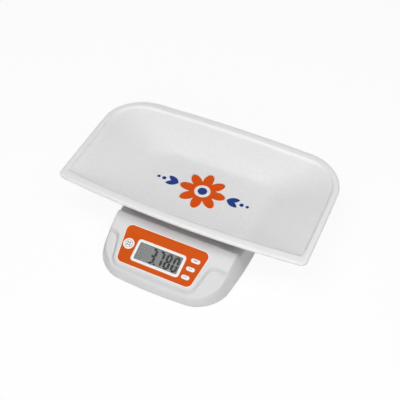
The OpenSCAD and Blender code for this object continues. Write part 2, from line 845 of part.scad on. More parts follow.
pad_r = 9;
pad_places = [for (sx = [-1, 1], sy = [-1, 1])
    [sx * (platform_length / 2 - 20), unit_y + sy * (platform_width / 2 - 18)]];
rib_t = 2.4;
peg_d = 12;
peg_places = [for (sx = [-1, 1]) [sx * (platform_length / 2 - 52), unit_y]];
peg_drop = pad_proud + 3;
plate_t = 3;
module platform() {
    color(white_plastic) at_tray() difference() {
        union() {
            translate([0, unit_y, platform_top - plate_t])
                rounded_box([platform_length, platform_width], 24, plate_t);
            // ribs underneath: a rim and a cross
            translate([0, unit_y, platform_z]) difference() {
                rounded_box([platform_length, platform_width], 24, platform_h - plate_t + thin);
                translate([0, 0, -over])
                    rounded_box([platform_length - 5, platform_width - 5], 21.5, platform_h + over);
            }
            translate([-platform_length / 2 + 1, unit_y - rib_t / 2, platform_z])
                cube([platform_length - 2, rib_t, platform_h - 1]);
            for (x = [-post_x, 0, post_x])
                translate([x - rib_t / 2, unit_y - platform_width / 2 + 1, platform_z])
                    cube([rib_t, platform_width - 2, platform_h - 1]);
            for (p = post_places) translate([p.x, p.y, upper_bracket_top])
                cylinder(h = platform_top - 1 - upper_bracket_top, d = post_d);
            for (p = concat(pad_places, peg_places)) translate([p.x, p.y, platform_z])
                cylinder(h = platform_h - 1, r = pad_r + 2);
        }
        for (p = post_places)
            translate([p.x, p.y, upper_bracket_top - over]) cylinder(h = 10 + over, d = 3.6);
        for (p = pad_places)
            translate([p.x, p.y, platform_top - pad_sink]) cylinder(h = pad_sink + over, r = pad_r + 0.1);
        for (p = peg_places)
            translate([p.x, p.y, platform_top - 5]) cylinder(h = 5 + over, d = peg_d + 1);
    }
}
pad_sink = 1.2;

module platform_screws() {
    color(steel) at_tray() for (p = post_places)
        translate([p.x, p.y, upper_bracket_z]) rotate([180, 0, 0]) screw(7, 2.4, 3.5, bracket_t + 8);
}

module platform_pads() {
    color(rubber_grey) at_tray() for (p = pad_places)
        translate([p.x, p.y, platform_top - pad_sink]) cylinder(h = pad_sink + pad_proud, r = pad_r);
}

// ---- batteries ----

battery_z = plate_top + door_ledge + battery_d / 2 + 0.3;
function battery_y(i) = box_front + 1 + battery_pitch * (i + 0.5);
module battery_cells() {
    nub = 1.2;
    color([0.22, 0.24, 0.28]) at_tray() for (i = [0:3]) {
        turn = i % 2 == 0 ? 0 : 180;
        translate([0, battery_y(i), battery_z]) rotate([0, 0, turn]) rotate([0, 90, 0]) {
            translate([0, 0, -battery_length / 2]) cylinder(h = battery_length - nub, d = battery_d);
            translate([0, 0, battery_length / 2 - nub - thin]) cylinder(h = nub + thin, d = 5.5);
        }
    }
}

// coil springs press the flat end of each battery
spring_wire = 0.8;
spring_turns = 4;
module battery_springs() {
    rest = box_half - 0.6 - battery_length / 2;
    color(steel) at_tray() for (i = [0:3]) {
        side = i % 2 == 0 ? -1 : 1;
        start = side * battery_length / 2;
        path = [for (k = [0:spring_turns * 8])
            let (t = k / (spring_turns * 8), r = 3 + 1.6 * t)
            [start + side * (spring_wire / 2 + 0.05 + t * (rest - spring_wire - 0.1)),
                battery_y(i) + r * cos(t * spring_turns * 360),
                battery_z + r * sin(t * spring_turns * 360)]];
        tube(path, spring_wire, 4);
    }
}

module battery_plates() {
    color(steel) at_tray() for (side = [-1, 1], pair = [0, 1])
        translate([side * (box_half - 0.3) - 0.3, battery_y(pair * 2) - 6, battery_z - 6])
            cube([0.6, battery_pitch + 12, 12]);
}

module battery_door() {
    low = plate_z;
    outer = base_back;
    lip_top = low + door_lip_h;
    tongue_z = plate_top + 0.2;
    color(white_plastic) at_tray() {
        translate([-door_half, box_front + 2 + cover_gap, low])
            cube([2 * door_half, outer - box_front - 6, wall + 0.2 + thin]);
        translate([-box_half + cover_gap, box_front + cover_gap, tongue_z])
            cube([2 * (box_half - cover_gap), outer - box_front - 6, door_tongue_t]);
        translate([-box_half + 0.1, 0, 0]) rotate([90, 0, 90]) linear_extrude(2 * box_half - 0.2) polygon([
            [outer - 4, low], [outer, low], [outer - draft * door_lip_h, lip_top], [outer - 4, lip_top]
        ]);
        for (x = [-12:4:12]) translate([x - 0.7, outer - 2, low + 2]) cube([1.4, 2, 5]);
    }
}

// ---- leads inside the base ----

cell_lead_d = 3;
battery_lead_d = 1.6;
lead_out = [0, 6, 1];               // where a lead leaves its plug, and where it then bends
lead_bend = [-6, 14, -6];
cell_plug = console_point(cell_plug_u, plug_v + connector.y / 2, under_board - connector.z / 2);
battery_plug = console_point(battery_plug_u, plug_v + connector.y / 2, under_board - connector.z / 2);
module load_cell_lead() {
    start = [-cell_length / 2, unit_y + 8, cell_z + cell_height / 2];
    stops = [start, start + [-8, 0, 0], [-84, -30, 14], [-84, -70, 9], [-72, -115, 12],
        [-52, -138, 24], cell_plug + lead_bend, cell_plug + lead_out, cell_plug];
    color([0.85, 0.85, 0.85]) at_tray() tube(curve(stops, 4), cell_lead_d);
}
module battery_leads() {
    colours = ["firebrick", "black"];
    for (i = [0, 1]) {
        gap = 2.6 * i;
        from = [-22 - 6 * i, box_front - 2, plate_top + 6];
        to = battery_plug + [1.3 - gap, 0, 0];
        stops = [from, from + [0, gap - 9, 0], [-70 - gap, 36 + gap, 9], [-90 - gap, 0, 9],
            [-92 - gap, -60, 9], [-84 - gap, -118, 12], [-72 - gap, -138, 24],
            to + lead_bend, to + lead_out, to];
        color(colours[i]) at_tray() tube(curve(stops, 4), battery_lead_d);
    }
}

// ---- tray ----

edge_steps = 8;
// the rim's outline, set in from its outer edge
function rim_outline(inset, z) =
    let (
        a = tray_length / 2 - inset * end_rim / rim_width,
        b = tray_width / 2 - inset,
        front_r = max(tray_front_r - inset * 0.4, 6),
        plain = plain_outline(a, b, front_r, tray_back_r - inset, edge_steps)
    )
    [for (p = bowed(plain, a, b, tray_front_bow, tray_back_bow, tray_end_bow)) [p.x, p.y, z]];
// the flat floor's outline, grown outwards by a margin
floor_r = 26;
function floor_outline(grow, z) =
    let (half = [floor_length / 2 + grow, floor_width / 2 + grow])
    [for (p = plain_outline(half.x, half.y, floor_r, floor_r + 20, edge_steps)) [p.x, p.y - floor_ahead, z]];
function blend(ring_a, ring_b, t) = [for (i = [0:len(ring_a) - 1]) ring_a[i] * (1 - t) + ring_b[i] * t];
function lowered(ring, drop) = [for (p = ring) p - [0, 0, drop]];

bead_step = 3.2;                    // the step down inside the rim's flat top
ledge = [6, 3];                     // from the rim's inner edge to the wall: inwards, below the step
module tray_shell() {
    wall_top = rim_outline(rim_width + ledge[0], rim_z - bead_step - ledge[1]);
    inside = [
        rim_outline(rim_width, rim_z),
        rim_outline(rim_width + 3, rim_z - bead_step),
        wall_top,
        blend(wall_top, floor_outline(2, floor_z), 0.9),
        floor_outline(-8, floor_z)
    ];
    outside = [
        lowered(floor_outline(-8, floor_z), tray_wall),
        lowered(blend(wall_top, floor_outline(2, floor_z), 0.9), tray_wall),
        lowered(wall_top, tray_wall),
        rim_outline(rim_width + 1, rim_z - bead_step - tray_wall),
        rim_outline(rim_width - 2, rim_z - tray_wall),
        rim_outline(3.6, rim_z - tray_wall),
        rim_outline(2.6, rim_z - skirt_drop),
        rim_outline(0.4, rim_z - skirt_drop),
        rim_outline(0, rim_z - 3),
        rim_outline(0.8, rim_z - 0.9),
        rim_outline(3, rim_z)
    ];
    loft(concat(outside, inside));
}

module tray() {
    color(tray_white) at_tray() {
        tray_shell();
        for (p = peg_places) translate([p.x, p.y, floor_under - peg_drop])
            cylinder(h = peg_drop + 1, d = peg_d);
    }
}

// a plain eight-petalled flower with two leaves and a row of dots
film = 0.2;
flower_r = print_width * 0.24;
petals = 8;
print_y = -12;
module print_orange() {
    color(orange) at_tray() translate([0, print_y, floor_z]) linear_extrude(film) difference() {
        union() {
            for (k = [0:petals - 1]) rotate(k * 360 / petals)
                translate([0.62 * flower_r, 0]) scale([1, 0.56]) circle(r = 0.38 * flower_r);
            circle(r = 0.55 * flower_r);
        }
        circle(r = 0.34 * flower_r);
    }
}
module leaf(length) {
    bulge = length * 0.75;
    intersection() {
        translate([length / 2, -bulge * 0.66]) circle(r = bulge);
        translate([length / 2, bulge * 0.66]) circle(r = bulge);
    }
}
module print_blue() {
    color(blue) at_tray() translate([0, print_y, floor_z]) linear_extrude(film) {
        circle(r = 0.2 * flower_r);
        for (side = [0, 180]) rotate(side) {
            translate([1.12 * flower_r, 0]) rotate(24) leaf(0.5 * flower_r);
            translate([1.12 * flower_r, 0]) rotate(-24) leaf(0.5 * flower_r);
            for (k = [0:1]) translate([(1.75 + 0.25 * k) * flower_r, 0])
                circle(r = (0.09 - 0.02 * k) * flower_r);
        }
    }
}

lower_cover();
upper_cover();
rubber_feet();
case_screws();
panel_label();
badge_disc();
display_frame();
display_lens();
display_digits();
display_glass();
display_holder();
contact_strips();
main_board();
board_chips();
board_connectors();
buzzer();
tact_switches();
board_screws();
power_button();
hold_button();
tare_button();
lower_bracket();
bracket_screws();
lower_spacer();
load_cell();
gauge_sealant();
overload_stop();
upper_spacer();
upper_bracket();
load_cell_screws();
platform();
platform_screws();
platform_pads();
battery_cells();
battery_springs();
battery_plates();
battery_door();
load_cell_lead();
battery_leads();
tray();
print_orange();
print_blue();
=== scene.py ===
import math

import bpy
import numpy as np
from bpy.props import FloatProperty, FloatVectorProperty, PointerProperty
from mathutils import Matrix, Vector


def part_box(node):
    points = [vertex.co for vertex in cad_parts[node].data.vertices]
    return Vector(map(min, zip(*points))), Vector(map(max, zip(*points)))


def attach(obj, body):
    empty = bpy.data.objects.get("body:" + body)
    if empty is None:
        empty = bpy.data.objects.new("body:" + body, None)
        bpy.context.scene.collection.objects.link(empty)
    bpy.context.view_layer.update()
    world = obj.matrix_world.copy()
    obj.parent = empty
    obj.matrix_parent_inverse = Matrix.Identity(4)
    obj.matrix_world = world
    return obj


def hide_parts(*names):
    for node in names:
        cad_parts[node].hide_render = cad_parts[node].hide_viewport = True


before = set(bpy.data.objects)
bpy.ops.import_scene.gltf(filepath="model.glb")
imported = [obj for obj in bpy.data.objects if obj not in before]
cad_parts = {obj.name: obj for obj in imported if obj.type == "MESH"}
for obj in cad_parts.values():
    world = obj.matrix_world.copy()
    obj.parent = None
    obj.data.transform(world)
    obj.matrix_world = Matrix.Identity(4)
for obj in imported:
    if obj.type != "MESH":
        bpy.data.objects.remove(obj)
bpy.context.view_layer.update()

bl_info = {
    "name": "Baby scale looks",
    "version": (1, 0, 0),
    "blender": (4, 5, 0),
    "location": "View3D > Sidebar > Baby scale",
    "description": "Surfaces, finishes and studio for a digital baby scale",
    "category": "Object",
}

MM = 0.001
# keeps a division by a length of nothing from failing
LEAST_SIZE = 1e-9


# ---- settings ----

def length_setting(name, description, millimetres):
    return FloatProperty(name=name, description=description, default=millimetres * MM,
                         unit="LENGTH")


def angle_setting(name, description, degrees):
    return FloatProperty(name=name, description=description, default=math.radians(degrees),
                         subtype="ANGLE")


def colour_setting(name, description, *default):
    return FloatVectorProperty(name=name, description=description, default=default, size=3,
                               subtype="COLOR")


class TraySettings(bpy.types.PropertyGroup):
    """Sizes of the tray."""
    length: length_setting("Length", "Length of the rim without the bow of its ends", 554)
    width: length_setting("Width", "Width of the rim without the bow of its long edges", 293)
    depth: length_setting("Depth", "Height of the rim above the floor", 53)
    wall: length_setting("Wall", "Thickness of the wall", 3.2)
    back_radius: length_setting("Back corners", "Corner radius at the back", 88)
    front_radius: length_setting("Front corners", "Corner radius at the front", 12)
    front_bow: length_setting("Front bow", "Bow of the front edge", 15)
    back_bow: length_setting("Back bow", "Bow of the back edge", 11)
    end_bow: length_setting("End bow", "Bow of the two ends", 1)
    rim: length_setting("Rim", "Width of the rim's flat top", 18)
    end_rim: length_setting("End rim", "Width of the rim's flat top at the two ends", 12)
    skirt: length_setting("Skirt", "Drop of the outer skirt", 8)
    floor_length: length_setting("Floor length", "Length of the flat floor", 275)
    floor_width: length_setting("Floor width", "Width of the flat floor", 180)
    floor_ahead: length_setting("Floor ahead", "Floor's middle ahead of the rim's middle", 24)
    bead: length_setting("Bead", "Step down inside the rim", 3.2)


class CaseSettings(bpy.types.PropertyGroup):
    """Sizes of the base and its console."""
    width: length_setting("Width", "Width without the bow of the sides", 264)
    side_bow: length_setting("Side bow", "Bow of the sides", 22)
    front_bow: length_setting("Front bow", "Bow of the front edge", 9)
    radius: length_setting("Corners", "Corner radius in plan", 54)
    wall: length_setting("Wall", "Thickness of the covers", 2.5)
    draft: FloatProperty(name="Draft", description="Inward lean of the walls per unit of height",
                         default=0.18)
    soft_edge: length_setting("Soft edge", "How widely the top edges are rounded", 22)
    console_depth: length_setting("Console depth", "Depth of the console", 125)
    console_rise: length_setting("Console rise", "Rise of its back edge over the deck", 19.5)
    tilt: angle_setting("Tilt", "Tilt of the console's face", 18)
    lip_drop: length_setting("Lip drop", "Drop from the face to the lip round it", 6.5)
    block_depth: length_setting("Block depth", "Depth of the full-width block", 44)


class PanelSettings(bpy.types.PropertyGroup):
    """Sizes of the faceplate and what it carries."""
    offset: length_setting("Offset", "Sideways place of the faceplate's middle", -8)
    setback: length_setting("Setback", "Distance of the faceplate's middle from the front edge", 63)
    top_width: length_setting("Top width", "Width at the top", 193)
    bottom_width: length_setting("Bottom width", "Width at the bottom", 167)
    depth: length_setting("Depth", "Depth along the slope", 86.5)
    radius: length_setting("Corners", "Corner radius", 14)
    proud: length_setting("Proud", "Height of the faceplate over the face", 0.3)
    window_width: length_setting("Window width", "Width of the display window", 97)
    window_height: length_setting("Window height", "Height of the display window", 38)
    frame_border: length_setting("Frame border", "Width of the frame round the display", 6)
    button_width: length_setting("Button width", "Width of the upper button", 20)
    button_height: length_setting("Button height", "Height of each button", 9)


class FinishColours(bpy.types.PropertyGroup):
    """Colours of the finishes."""
    case_white: colour_setting("Case", "Colour of the covers", 0.68, 0.68, 0.685)
    tray_white: colour_setting("Tray", "Colour of the tray", 0.84, 0.84, 0.84)
    button_white: colour_setting("Buttons", "Colour of the buttons and frame", 0.88, 0.87, 0.85)
    orange: colour_setting("Faceplate", "Colour of the faceplate", 0.64, 0.088, 0.003)
    print_orange: colour_setting("Orange print", "Colour of the orange print", 0.74, 0.088, 0.006)
    print_blue: colour_setting("Blue print", "Colour of the blue print", 0.022, 0.055, 0.27)
    display: colour_setting("Display", "Colour of the display's ground", 0.158, 0.168, 0.167)
    mark: colour_setting("Marks", "Colour of the small printed marks", 0.22, 0.22, 0.24)


class StageSettings(bpy.types.PropertyGroup):
    """The camera and the studio."""
    azimuth: angle_setting("Azimuth", "Camera's turn round the object", 22.1)
    elevation: angle_setting("Elevation", "Camera's height angle", 47.8)
    roll: angle_setting("Roll", "Camera's roll", 3)
    distance: length_setting("Distance", "Distance to the aimed point", 1543.5)
    focal: FloatProperty(name="Focal length", description="Focal length on a 36 mm sensor",
                         default=67.35)
    aim: FloatVectorProperty(name="Aim", description="Point aimed at, from the tray's middle",
                             default=(0.0239, -0.0821, 0.0), size=3, subtype="TRANSLATION")


def tray_sizes():
    return bpy.context.scene.baby_scale_tray


def case_sizes():
    return bpy.context.scene.baby_scale_case


def panel_sizes():
    return bpy.context.scene.baby_scale_panel


# ---- meshes ----

def grid_faces(rows, cols, closed):
    """Quads between neighbouring rows; a closed grid joins each row's end to its start."""
    i = np.arange(rows - 1)[:, None] * cols
    k = np.arange(cols if closed else cols - 1)[None, :]
    nxt = (k + 1) % cols
    return np.stack([i + k, i + nxt, i + nxt + cols, i + k + cols], axis=-1).reshape(-1, 4)


def fan_faces(first, count, centre, flip):
    """Triangles from a ring of points to one centre point."""
    k = np.arange(count)
    nxt = (k + 1) % count
    tri = np.stack([first + k, first + nxt, np.full(count, centre)], axis=-1)
    return tri[:, ::-1] if flip else tri


def ring_faces(rows, cols):
    """Quads of a grid that is closed both ways."""
    last = (rows - 1) * cols
    k = np.arange(cols)
    nxt = (k + 1) % cols
    closing = np.stack([last + k, last + nxt, nxt, k], axis=-1)
    return np.concatenate([grid_faces(rows, cols, True), closing])


def piece_from(name, verts, quads, tris, body, replaced, finish):
    """Makes a smooth mesh object from whole arrays, in its finish, riding on its body."""
    mesh = bpy.data.meshes.new(name)
    mesh.from_pydata(verts.tolist(), [], quads.tolist() + tris.tolist())
    mesh.update()
    mesh.polygons.foreach_set("use_smooth", np.ones(len(mesh.polygons), dtype=bool))
    obj = bpy.data.objects.new(name, mesh)
    bpy.context.scene.collection.objects.link(obj)
    obj.data.materials.append(MATERIAL[finish])
    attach(obj, body)
    if replaced:
        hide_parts(*replaced)
    return obj


NO_TRIS = np.zeros((0, 3), dtype=int)


def stacked(name, rings, body, replaced, finish):
    """A closed solid from a stack of rings: rings[i, k] are points, the two ends closed by fans."""
    rows, cols = rings.shape[:2]
    count = rows * cols
    ends = np.stack([rings[0].mean(axis=0), rings[-1].mean(axis=0)])
    verts = np.concatenate([rings.reshape(-1, 3), ends])
    quads = grid_faces(rows, cols, True)[:, ::-1]
    tris = np.concatenate([fan_faces(0, cols, count, False),
                           fan_faces(count - cols, cols, count + 1, True)])
    obj = piece_from(name, verts, quads, tris, body, replaced, finish)
    outward(obj)
    return obj


def read_triples(items, name, kind=float):
    """One value of every item of a mesh, three numbers to each."""
    values = np.empty(len(items) * 3, dtype=kind)
    items.foreach_get(name, values)
    return values.reshape(-1, 3)


def outward(obj):
    """Turns every face of a closed mesh outwards, by the sign of its volume."""
    mesh = obj.data
    mesh.calc_loop_triangles()
    points = read_triples(mesh.vertices, "co")
    corners = read_triples(mesh.loop_triangles, "vertices", int)
    a, b, c = (points[corners[:, j]] for j in range(3))
    if np.einsum("ij,ij->i", a, np.cross(b, c)).sum() < 0:
        mesh.flip_normals()


# ---- outlines ----

def pair(x, y):
    """Flat points from their two coordinates."""
    return np.stack([x, y], axis=-1)


def quarter(a, b, r, sx, sy, start, steps):
    """A quarter circle of radius r in one corner of an a by b half-size rectangle."""
    t = np.radians(start + np.linspace(0, 90, steps + 1))
    return pair(sx * (a - r) + r * np.cos(t), sy * (b - r) + r * np.sin(t))


def rounded_rectangle(a, b, front_r, back_r, steps):
    """Four quarter circles joined by straight runs, each cut into the same number of steps."""
    arcs = [quarter(a, b, back_r, 1, 1, 0, steps), quarter(a, b, back_r, -1, 1, 90, steps),
            quarter(a, b, front_r, -1, -1, 180, steps), quarter(a, b, front_r, 1, -1, 270, steps)]
    share = np.linspace(0, 1, steps + 1)[1:-1, None]
    parts = []
    for arc, following in zip(arcs, arcs[1:] + arcs[:1]):
        parts += [arc, arc[-1] + (following[0] - arc[-1]) * share]
    return np.concatenate(parts)


def bowed(points, a, b, front_bow, back_bow, end_bow):
    """Each side pushed outwards by a parabola, full at its middle and nothing at its ends."""
    x, y = points.T
    along = 1 - (x / a) ** 2
    across = 1 - (y / b) ** 2
    bow = np.where(y > 0, back_bow, front_bow)
    return pair(x + end_bow * across * x / a, y + bow * along * y / b)


def full_turn(count):
    return np.linspace(0, 2 * math.pi, count, endpoint=False)


def circle(centre, radius, count):
    """A ring of points round a place; the radius may differ from point to point."""
    t = full_turn(count)
    return pair(centre[0] + radius * np.cos(t), centre[1] + radius * np.sin(t))


def at_height(points, z):
    """Flat points lifted to one height, or each to its own."""
    return np.column_stack([points, np.broadcast_to(z, len(points))])


def towards(points, others, reach):
    """Points moved towards others, by `reach` but at most half the way."""
    way = others - points
    size = np.maximum(np.linalg.norm(way, axis=-1, keepdims=True), LEAST_SIZE)
    return points + way * np.minimum(reach / size, 0.5)


def softened(rings, reach, steps):
    """A stack of rings with each inner ring rounded off: near it the way follows a parabola from
    a point before it to a point after it, both at most `reach` away and half the way along."""
    out = [rings[0]]
    for before, at, after, r in zip(rings[:-2], rings[1:-1], rings[2:], reach):
        start, end = towards(at, before, r), towards(at, after, r)
        for t in np.linspace(0, 1, steps):
            out.append((1 - t) ** 2 * start + 2 * t * (1 - t) * at + t ** 2 * end)
    out.append(rings[-1])
    return np.stack(out)


# ---- materials ----

# noise scales: slow changes of tone, and the unevenness of a sheen
CLOUD_SCALE = 14
SHEEN_SCALE = 60
FROSTING_SCALE = 520


def new_node(tree, kind, **inputs):
    """A node with its inputs set by name."""
    node = tree.nodes.new(kind)
    for name, value in inputs.items():
        node.inputs[name.replace("_", " ")].default_value = value
    return node


def spread(tree, value, low, high):
    """Maps a 0 to 1 pattern to a range."""
    node = new_node(tree, "ShaderNodeMapRange", To_Min=low, To_Max=high)
    tree.links.new(value, node.inputs["Value"])
    return node.outputs["Result"]


def math_node(tree, operation, *values):
    """A math node's result; each value is another node's output or a plain number."""
    node = tree.nodes.new("ShaderNodeMath")
    node.operation = operation
    for socket, value in zip(node.inputs, values):
        if isinstance(value, (int, float)):
            socket.default_value = value
        else:
            tree.links.new(value, socket)
    return node.outputs["Value"]


class Surface:
    """A material as it is built: its node tree, its shader and the patterns that feed it."""

    def __init__(self, name):
        self.material = bpy.data.materials.new(name)
        self.material.use_nodes = True
        self.tree = self.material.node_tree
        self.shader = self.tree.nodes["Principled BSDF"]

    def node(self, kind, **inputs):
        return new_node(self.tree, kind, **inputs)

    def feed(self, output, name):
        self.tree.links.new(output, self.shader.inputs[name])

    def place(self, scale=(1, 1, 1)):
        """Each point's own place on the object."""
        mapping = self.node("ShaderNodeMapping", Scale=scale)
        coords = self.node("ShaderNodeTexCoord")
        self.tree.links.new(coords.outputs["Object"], mapping.inputs["Vector"])
        return mapping.outputs["Vector"]

    def noise(self, where, scale, detail):
        texture = self.node("ShaderNodeTexNoise", Scale=scale, Detail=detail)
        self.tree.links.new(where, texture.inputs["Vector"])
        return texture.outputs["Fac"]

    def roughness(self, pattern, low, high):
        self.feed(spread(self.tree, pattern, low, high), "Roughness")

    def mix(self, pattern, first, second):
        """Two colours mixed by a pattern; the second may be another node's output."""
        node = self.tree.nodes.new("ShaderNodeMix")
        node.data_type = "RGBA"
        node.inputs["A"].default_value = [*first, 1]
        if isinstance(second, bpy.types.NodeSocket):
            self.tree.links.new(second, node.inputs["B"])
        else:
            node.inputs["B"].default_value = [*second, 1]
        self.tree.links.new(pattern, node.inputs["Factor"])
        return node.outputs["Result"]

    def shade(self, pattern, tone, darker):
        """A colour and a darker tone of it, mixed by a pattern."""
        return self.mix(pattern, [c * darker for c in tone], tone)

    def bump(self, height, distance, strength):
        node = self.node("ShaderNodeBump", Distance=distance, Strength=strength)
        self.tree.links.new(height, node.inputs["Height"])
        self.feed(node.outputs["Normal"], "Normal")


def moulded_plastic(name, tone, rough_low, rough_high, darker=0.96, grain=900, grain_depth=0.00006,
                    shine=0.5):
    """Moulded plastic: slow tone change, uneven sheen and a very fine grain."""
    surface = Surface(name)
    surface.shader.inputs["Specular IOR Level"].default_value = shine
    where = surface.place()
    surface.feed(surface.shade(surface.noise(where, CLOUD_SCALE, 3), tone, darker), "Base Color")
    surface.roughness(surface.noise(where, SHEEN_SCALE, 4), rough_low, rough_high)
    surface.bump(surface.noise(where, grain, 2), grain_depth, 0.35)
    return surface.material


def metal(name, tone, rough_low, rough_high):
    """Plain metal with fine drawn lines and uneven roughness."""
    surface = Surface(name)
    surface.shader.inputs["Metallic"].default_value = 1
    lines = surface.noise(surface.place((8, 200, 200)), 5, 4)
    surface.feed(surface.shade(lines, tone, 0.86), "Base Color")
    surface.roughness(lines, rough_low, rough_high)
    surface.bump(lines, 0.00005, 0.3)
    return surface.material


def frosted_tray(name, tone):
    """White plastic that is smooth on the rim and has a fine woven frosting inside.
    The frosting shows where a mask held in the mesh's own attribute is 1."""
    surface = Surface(name)
    where = surface.place()
    mask = surface.node("ShaderNodeAttribute")
    mask.attribute_name = "frosting"
    inside = mask.outputs["Fac"]
    speck = surface.node("ShaderNodeTexVoronoi", Scale=FROSTING_SCALE)
    surface.tree.links.new(where, speck.inputs["Vector"])
    grain = surface.noise(where, 300, 3)
    both = math_node(surface.tree, "MULTIPLY_ADD", speck.outputs["Distance"], 0.6, grain)
    surface.bump(math_node(surface.tree, "MULTIPLY", both, inside), 0.0007, 0.55)
    frosted = surface.shade(spread(surface.tree, both, 0, 1), [c * 0.97 for c in tone], 0.86)
    surface.feed(surface.mix(inside, tone, frosted), "Base Color")
    surface.roughness(inside, 0.32, 0.62)
    return surface.material


def clear_window(name):
    """A thin clear window: see-through but for a faint tint and gloss."""
    surface = Surface(name)
    surface.shader.inputs["Base Color"].default_value = (0.80, 0.82, 0.82, 1)
    surface.shader.inputs["Alpha"].default_value = 0.03
    surface.roughness(surface.noise(surface.place(), 40, 3), 0.08, 0.14)
    return surface.material


def display_ground(name, tone):
    """Grey liquid-crystal ground: a fine cell pattern and a slow change of tone."""
    surface = Surface(name)
    where = surface.place()
    surface.feed(surface.shade(surface.noise(where, 30, 2), tone, 0.9), "Base Color")
    surface.roughness(surface.noise(where, 400, 2), 0.3, 0.4)
    return surface.material


def finishes():
    """Every material of the object, by name. Each plastic gives its name, its colour, the range of
    its roughness and, where they aren't the usual ones, its darker tone, grain and shine."""
    c = bpy.context.scene.baby_scale_finish
    plastics = {
        "case": ("case plastic", c.case_white, 0.34, 0.46),
        "button": ("button plastic", c.button_white, 0.3, 0.38, 0.97),
        "faceplate": ("faceplate orange", c.orange, 0.34, 0.42, 0.93, 1500, 0.00002, 0.06),
        "orange print": ("orange print", c.print_orange, 0.45, 0.55, 0.92, FROSTING_SCALE, 0.0004,
                         0.08),
        "blue print": ("blue print", c.print_blue, 0.45, 0.55, 0.88, FROSTING_SCALE, 0.0004, 0.08),
        "white print": ("white print", (0.86, 0.84, 0.80), 0.4, 0.5),
        "mark": ("mark print", c.mark, 0.4, 0.5),
        "digit": ("digit black", (0.004, 0.004, 0.005), 0.45, 0.55, 0.96, 900, 0.00006, 0.05),
        "rubber": ("rubber", (0.035, 0.035, 0.037), 0.65, 0.8, 0.7, 700, 0.0002),
        "board": ("circuit board", (0.02, 0.16, 0.06), 0.3, 0.42, 0.8),
        "chip": ("chip black", (0.02, 0.02, 0.022), 0.4, 0.55, 0.8),
        "inner": ("inner plastic", (0.74, 0.72, 0.66), 0.4, 0.5),
        "sealant": ("silicone sealant", (0.78, 0.78, 0.75), 0.5, 0.65),
        "battery": ("battery jacket", (0.07, 0.08, 0.11), 0.28, 0.4),
        "lead": ("lead sleeve", (0.10, 0.10, 0.10), 0.45, 0.6),
    }
    return {key: moulded_plastic(*facts) for key, facts in plastics.items()} | {
        "tray": frosted_tray("tray plastic", c.tray_white),
        "display": display_ground("display ground", c.display),
        "window": clear_window("clear window"),
        "steel": metal("zinc steel", (0.62, 0.62, 0.64), 0.28, 0.42),
        "aluminium": metal("aluminium", (0.78, 0.79, 0.80), 0.3, 0.45),
    }


MATERIAL = {}

# the CAD nodes that stay in view, by their finish
FINISH_NODES = {
    "case": "lower_cover platform battery_door",
    "rubber": "rubber_feet contact_strips platform_pads",
    "steel": ("case_screws board_screws lower_bracket bracket_screws overload_stop upper_bracket "
              "load_cell_screws platform_screws battery_springs battery_plates"),
    "faceplate": "panel_label",
    "window": "display_lens",
    "display": "display_glass",
    "inner": "display_holder board_connectors",
    "board": "main_board",
    "chip": "board_chips buzzer tact_switches",
    "aluminium": "lower_spacer load_cell upper_spacer",
    "sealant": "gauge_sealant",
    "battery": "battery_cells",
    "lead": "load_cell_lead battery_leads",
    "orange print": "print_orange",
    "blue print": "print_blue",
}
NODE_FINISH = {node: finish for finish, nodes in FINISH_NODES.items() for node in nodes.split()}


def cad_finishes():
    """Each CAD node that stays in view gets its material."""
    for node, finish in NODE_FINISH.items():
        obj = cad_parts[node]
        obj.data.materials.clear()
        obj.data.materials.append(MATERIAL[finish])


# ---- places ----

TRAY_LOW, TRAY_HIGH = np.array(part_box("tray"))
CASE_LOW, CASE_HIGH = np.array(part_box("upper_cover"))


def tray_middle():
    """The middle of the tray's rim in plan, and the height of the rim, from the tray's own box."""
    tray = tray_sizes()
    return np.array([0.0, TRAY_HIGH[1] - tray.width / 2 - tray.back_bow, TRAY_HIGH[2]])


def console_back():
    """Where the console ends and the deck behind it starts."""
    return CASE_LOW[1] + case_sizes().console_depth


def face_middle():
    """The faceplate's middle on the console's tilted face."""
    y = CASE_LOW[1] + panel_sizes().setback
    z = CASE_HIGH[2] - (console_back() - y) * math.tan(case_sizes().tilt)
    return np.array([panel_sizes().offset, y, z])


def place_on_face(x, y):
    """From plan to places on the face (right, up the slope), from the faceplate's middle."""
    middle = face_middle()
    return x - middle[0], (y - middle[1]) / math.cos(case_sizes().tilt)


def on_console(points):
    """From places on the face (right, up the slope, out of it) to places in the object."""
    tilt = case_sizes().tilt
    u, v, w = np.moveaxis(points, -1, 0)
    middle = face_middle()
    return np.stack([
        middle[0] + u,
        middle[1] + v * math.cos(tilt) - w * math.sin(tilt),
        middle[2] + v * math.sin(tilt) + w * math.cos(tilt),
    ], axis=-1)


# ---- tray ----

# cuts of each corner and each side of the tray's outlines
RING_STEPS = 44
# how much a front corner's radius shrinks for each unit of inset, and its least radius
CORNER_SHRINK = 0.4
LEAST_RADIUS = 6 * MM
FLOOR_FRONT_RADIUS = 26 * MM
FLOOR_BACK_RADIUS = 46 * MM
# the floor's innermost ring, inside its edge
FLOOR_INSET = 24 * MM


def rim_ring(inset, drop):
    """The tray's rim outline set in by `inset` and lowered by `drop`."""
    tray = tray_sizes()
    middle = tray_middle()
    a = tray.length / 2 - inset * tray.end_rim / tray.rim
    b = tray.width / 2 - inset
    front_r = max(tray.front_radius - inset * CORNER_SHRINK, LEAST_RADIUS)
    plain = rounded_rectangle(a, b, front_r, tray.back_radius - inset, RING_STEPS)
    ring = bowed(plain, a, b, tray.front_bow, tray.back_bow, tray.end_bow)
    return at_height(ring + middle[:2], middle[2] - drop)


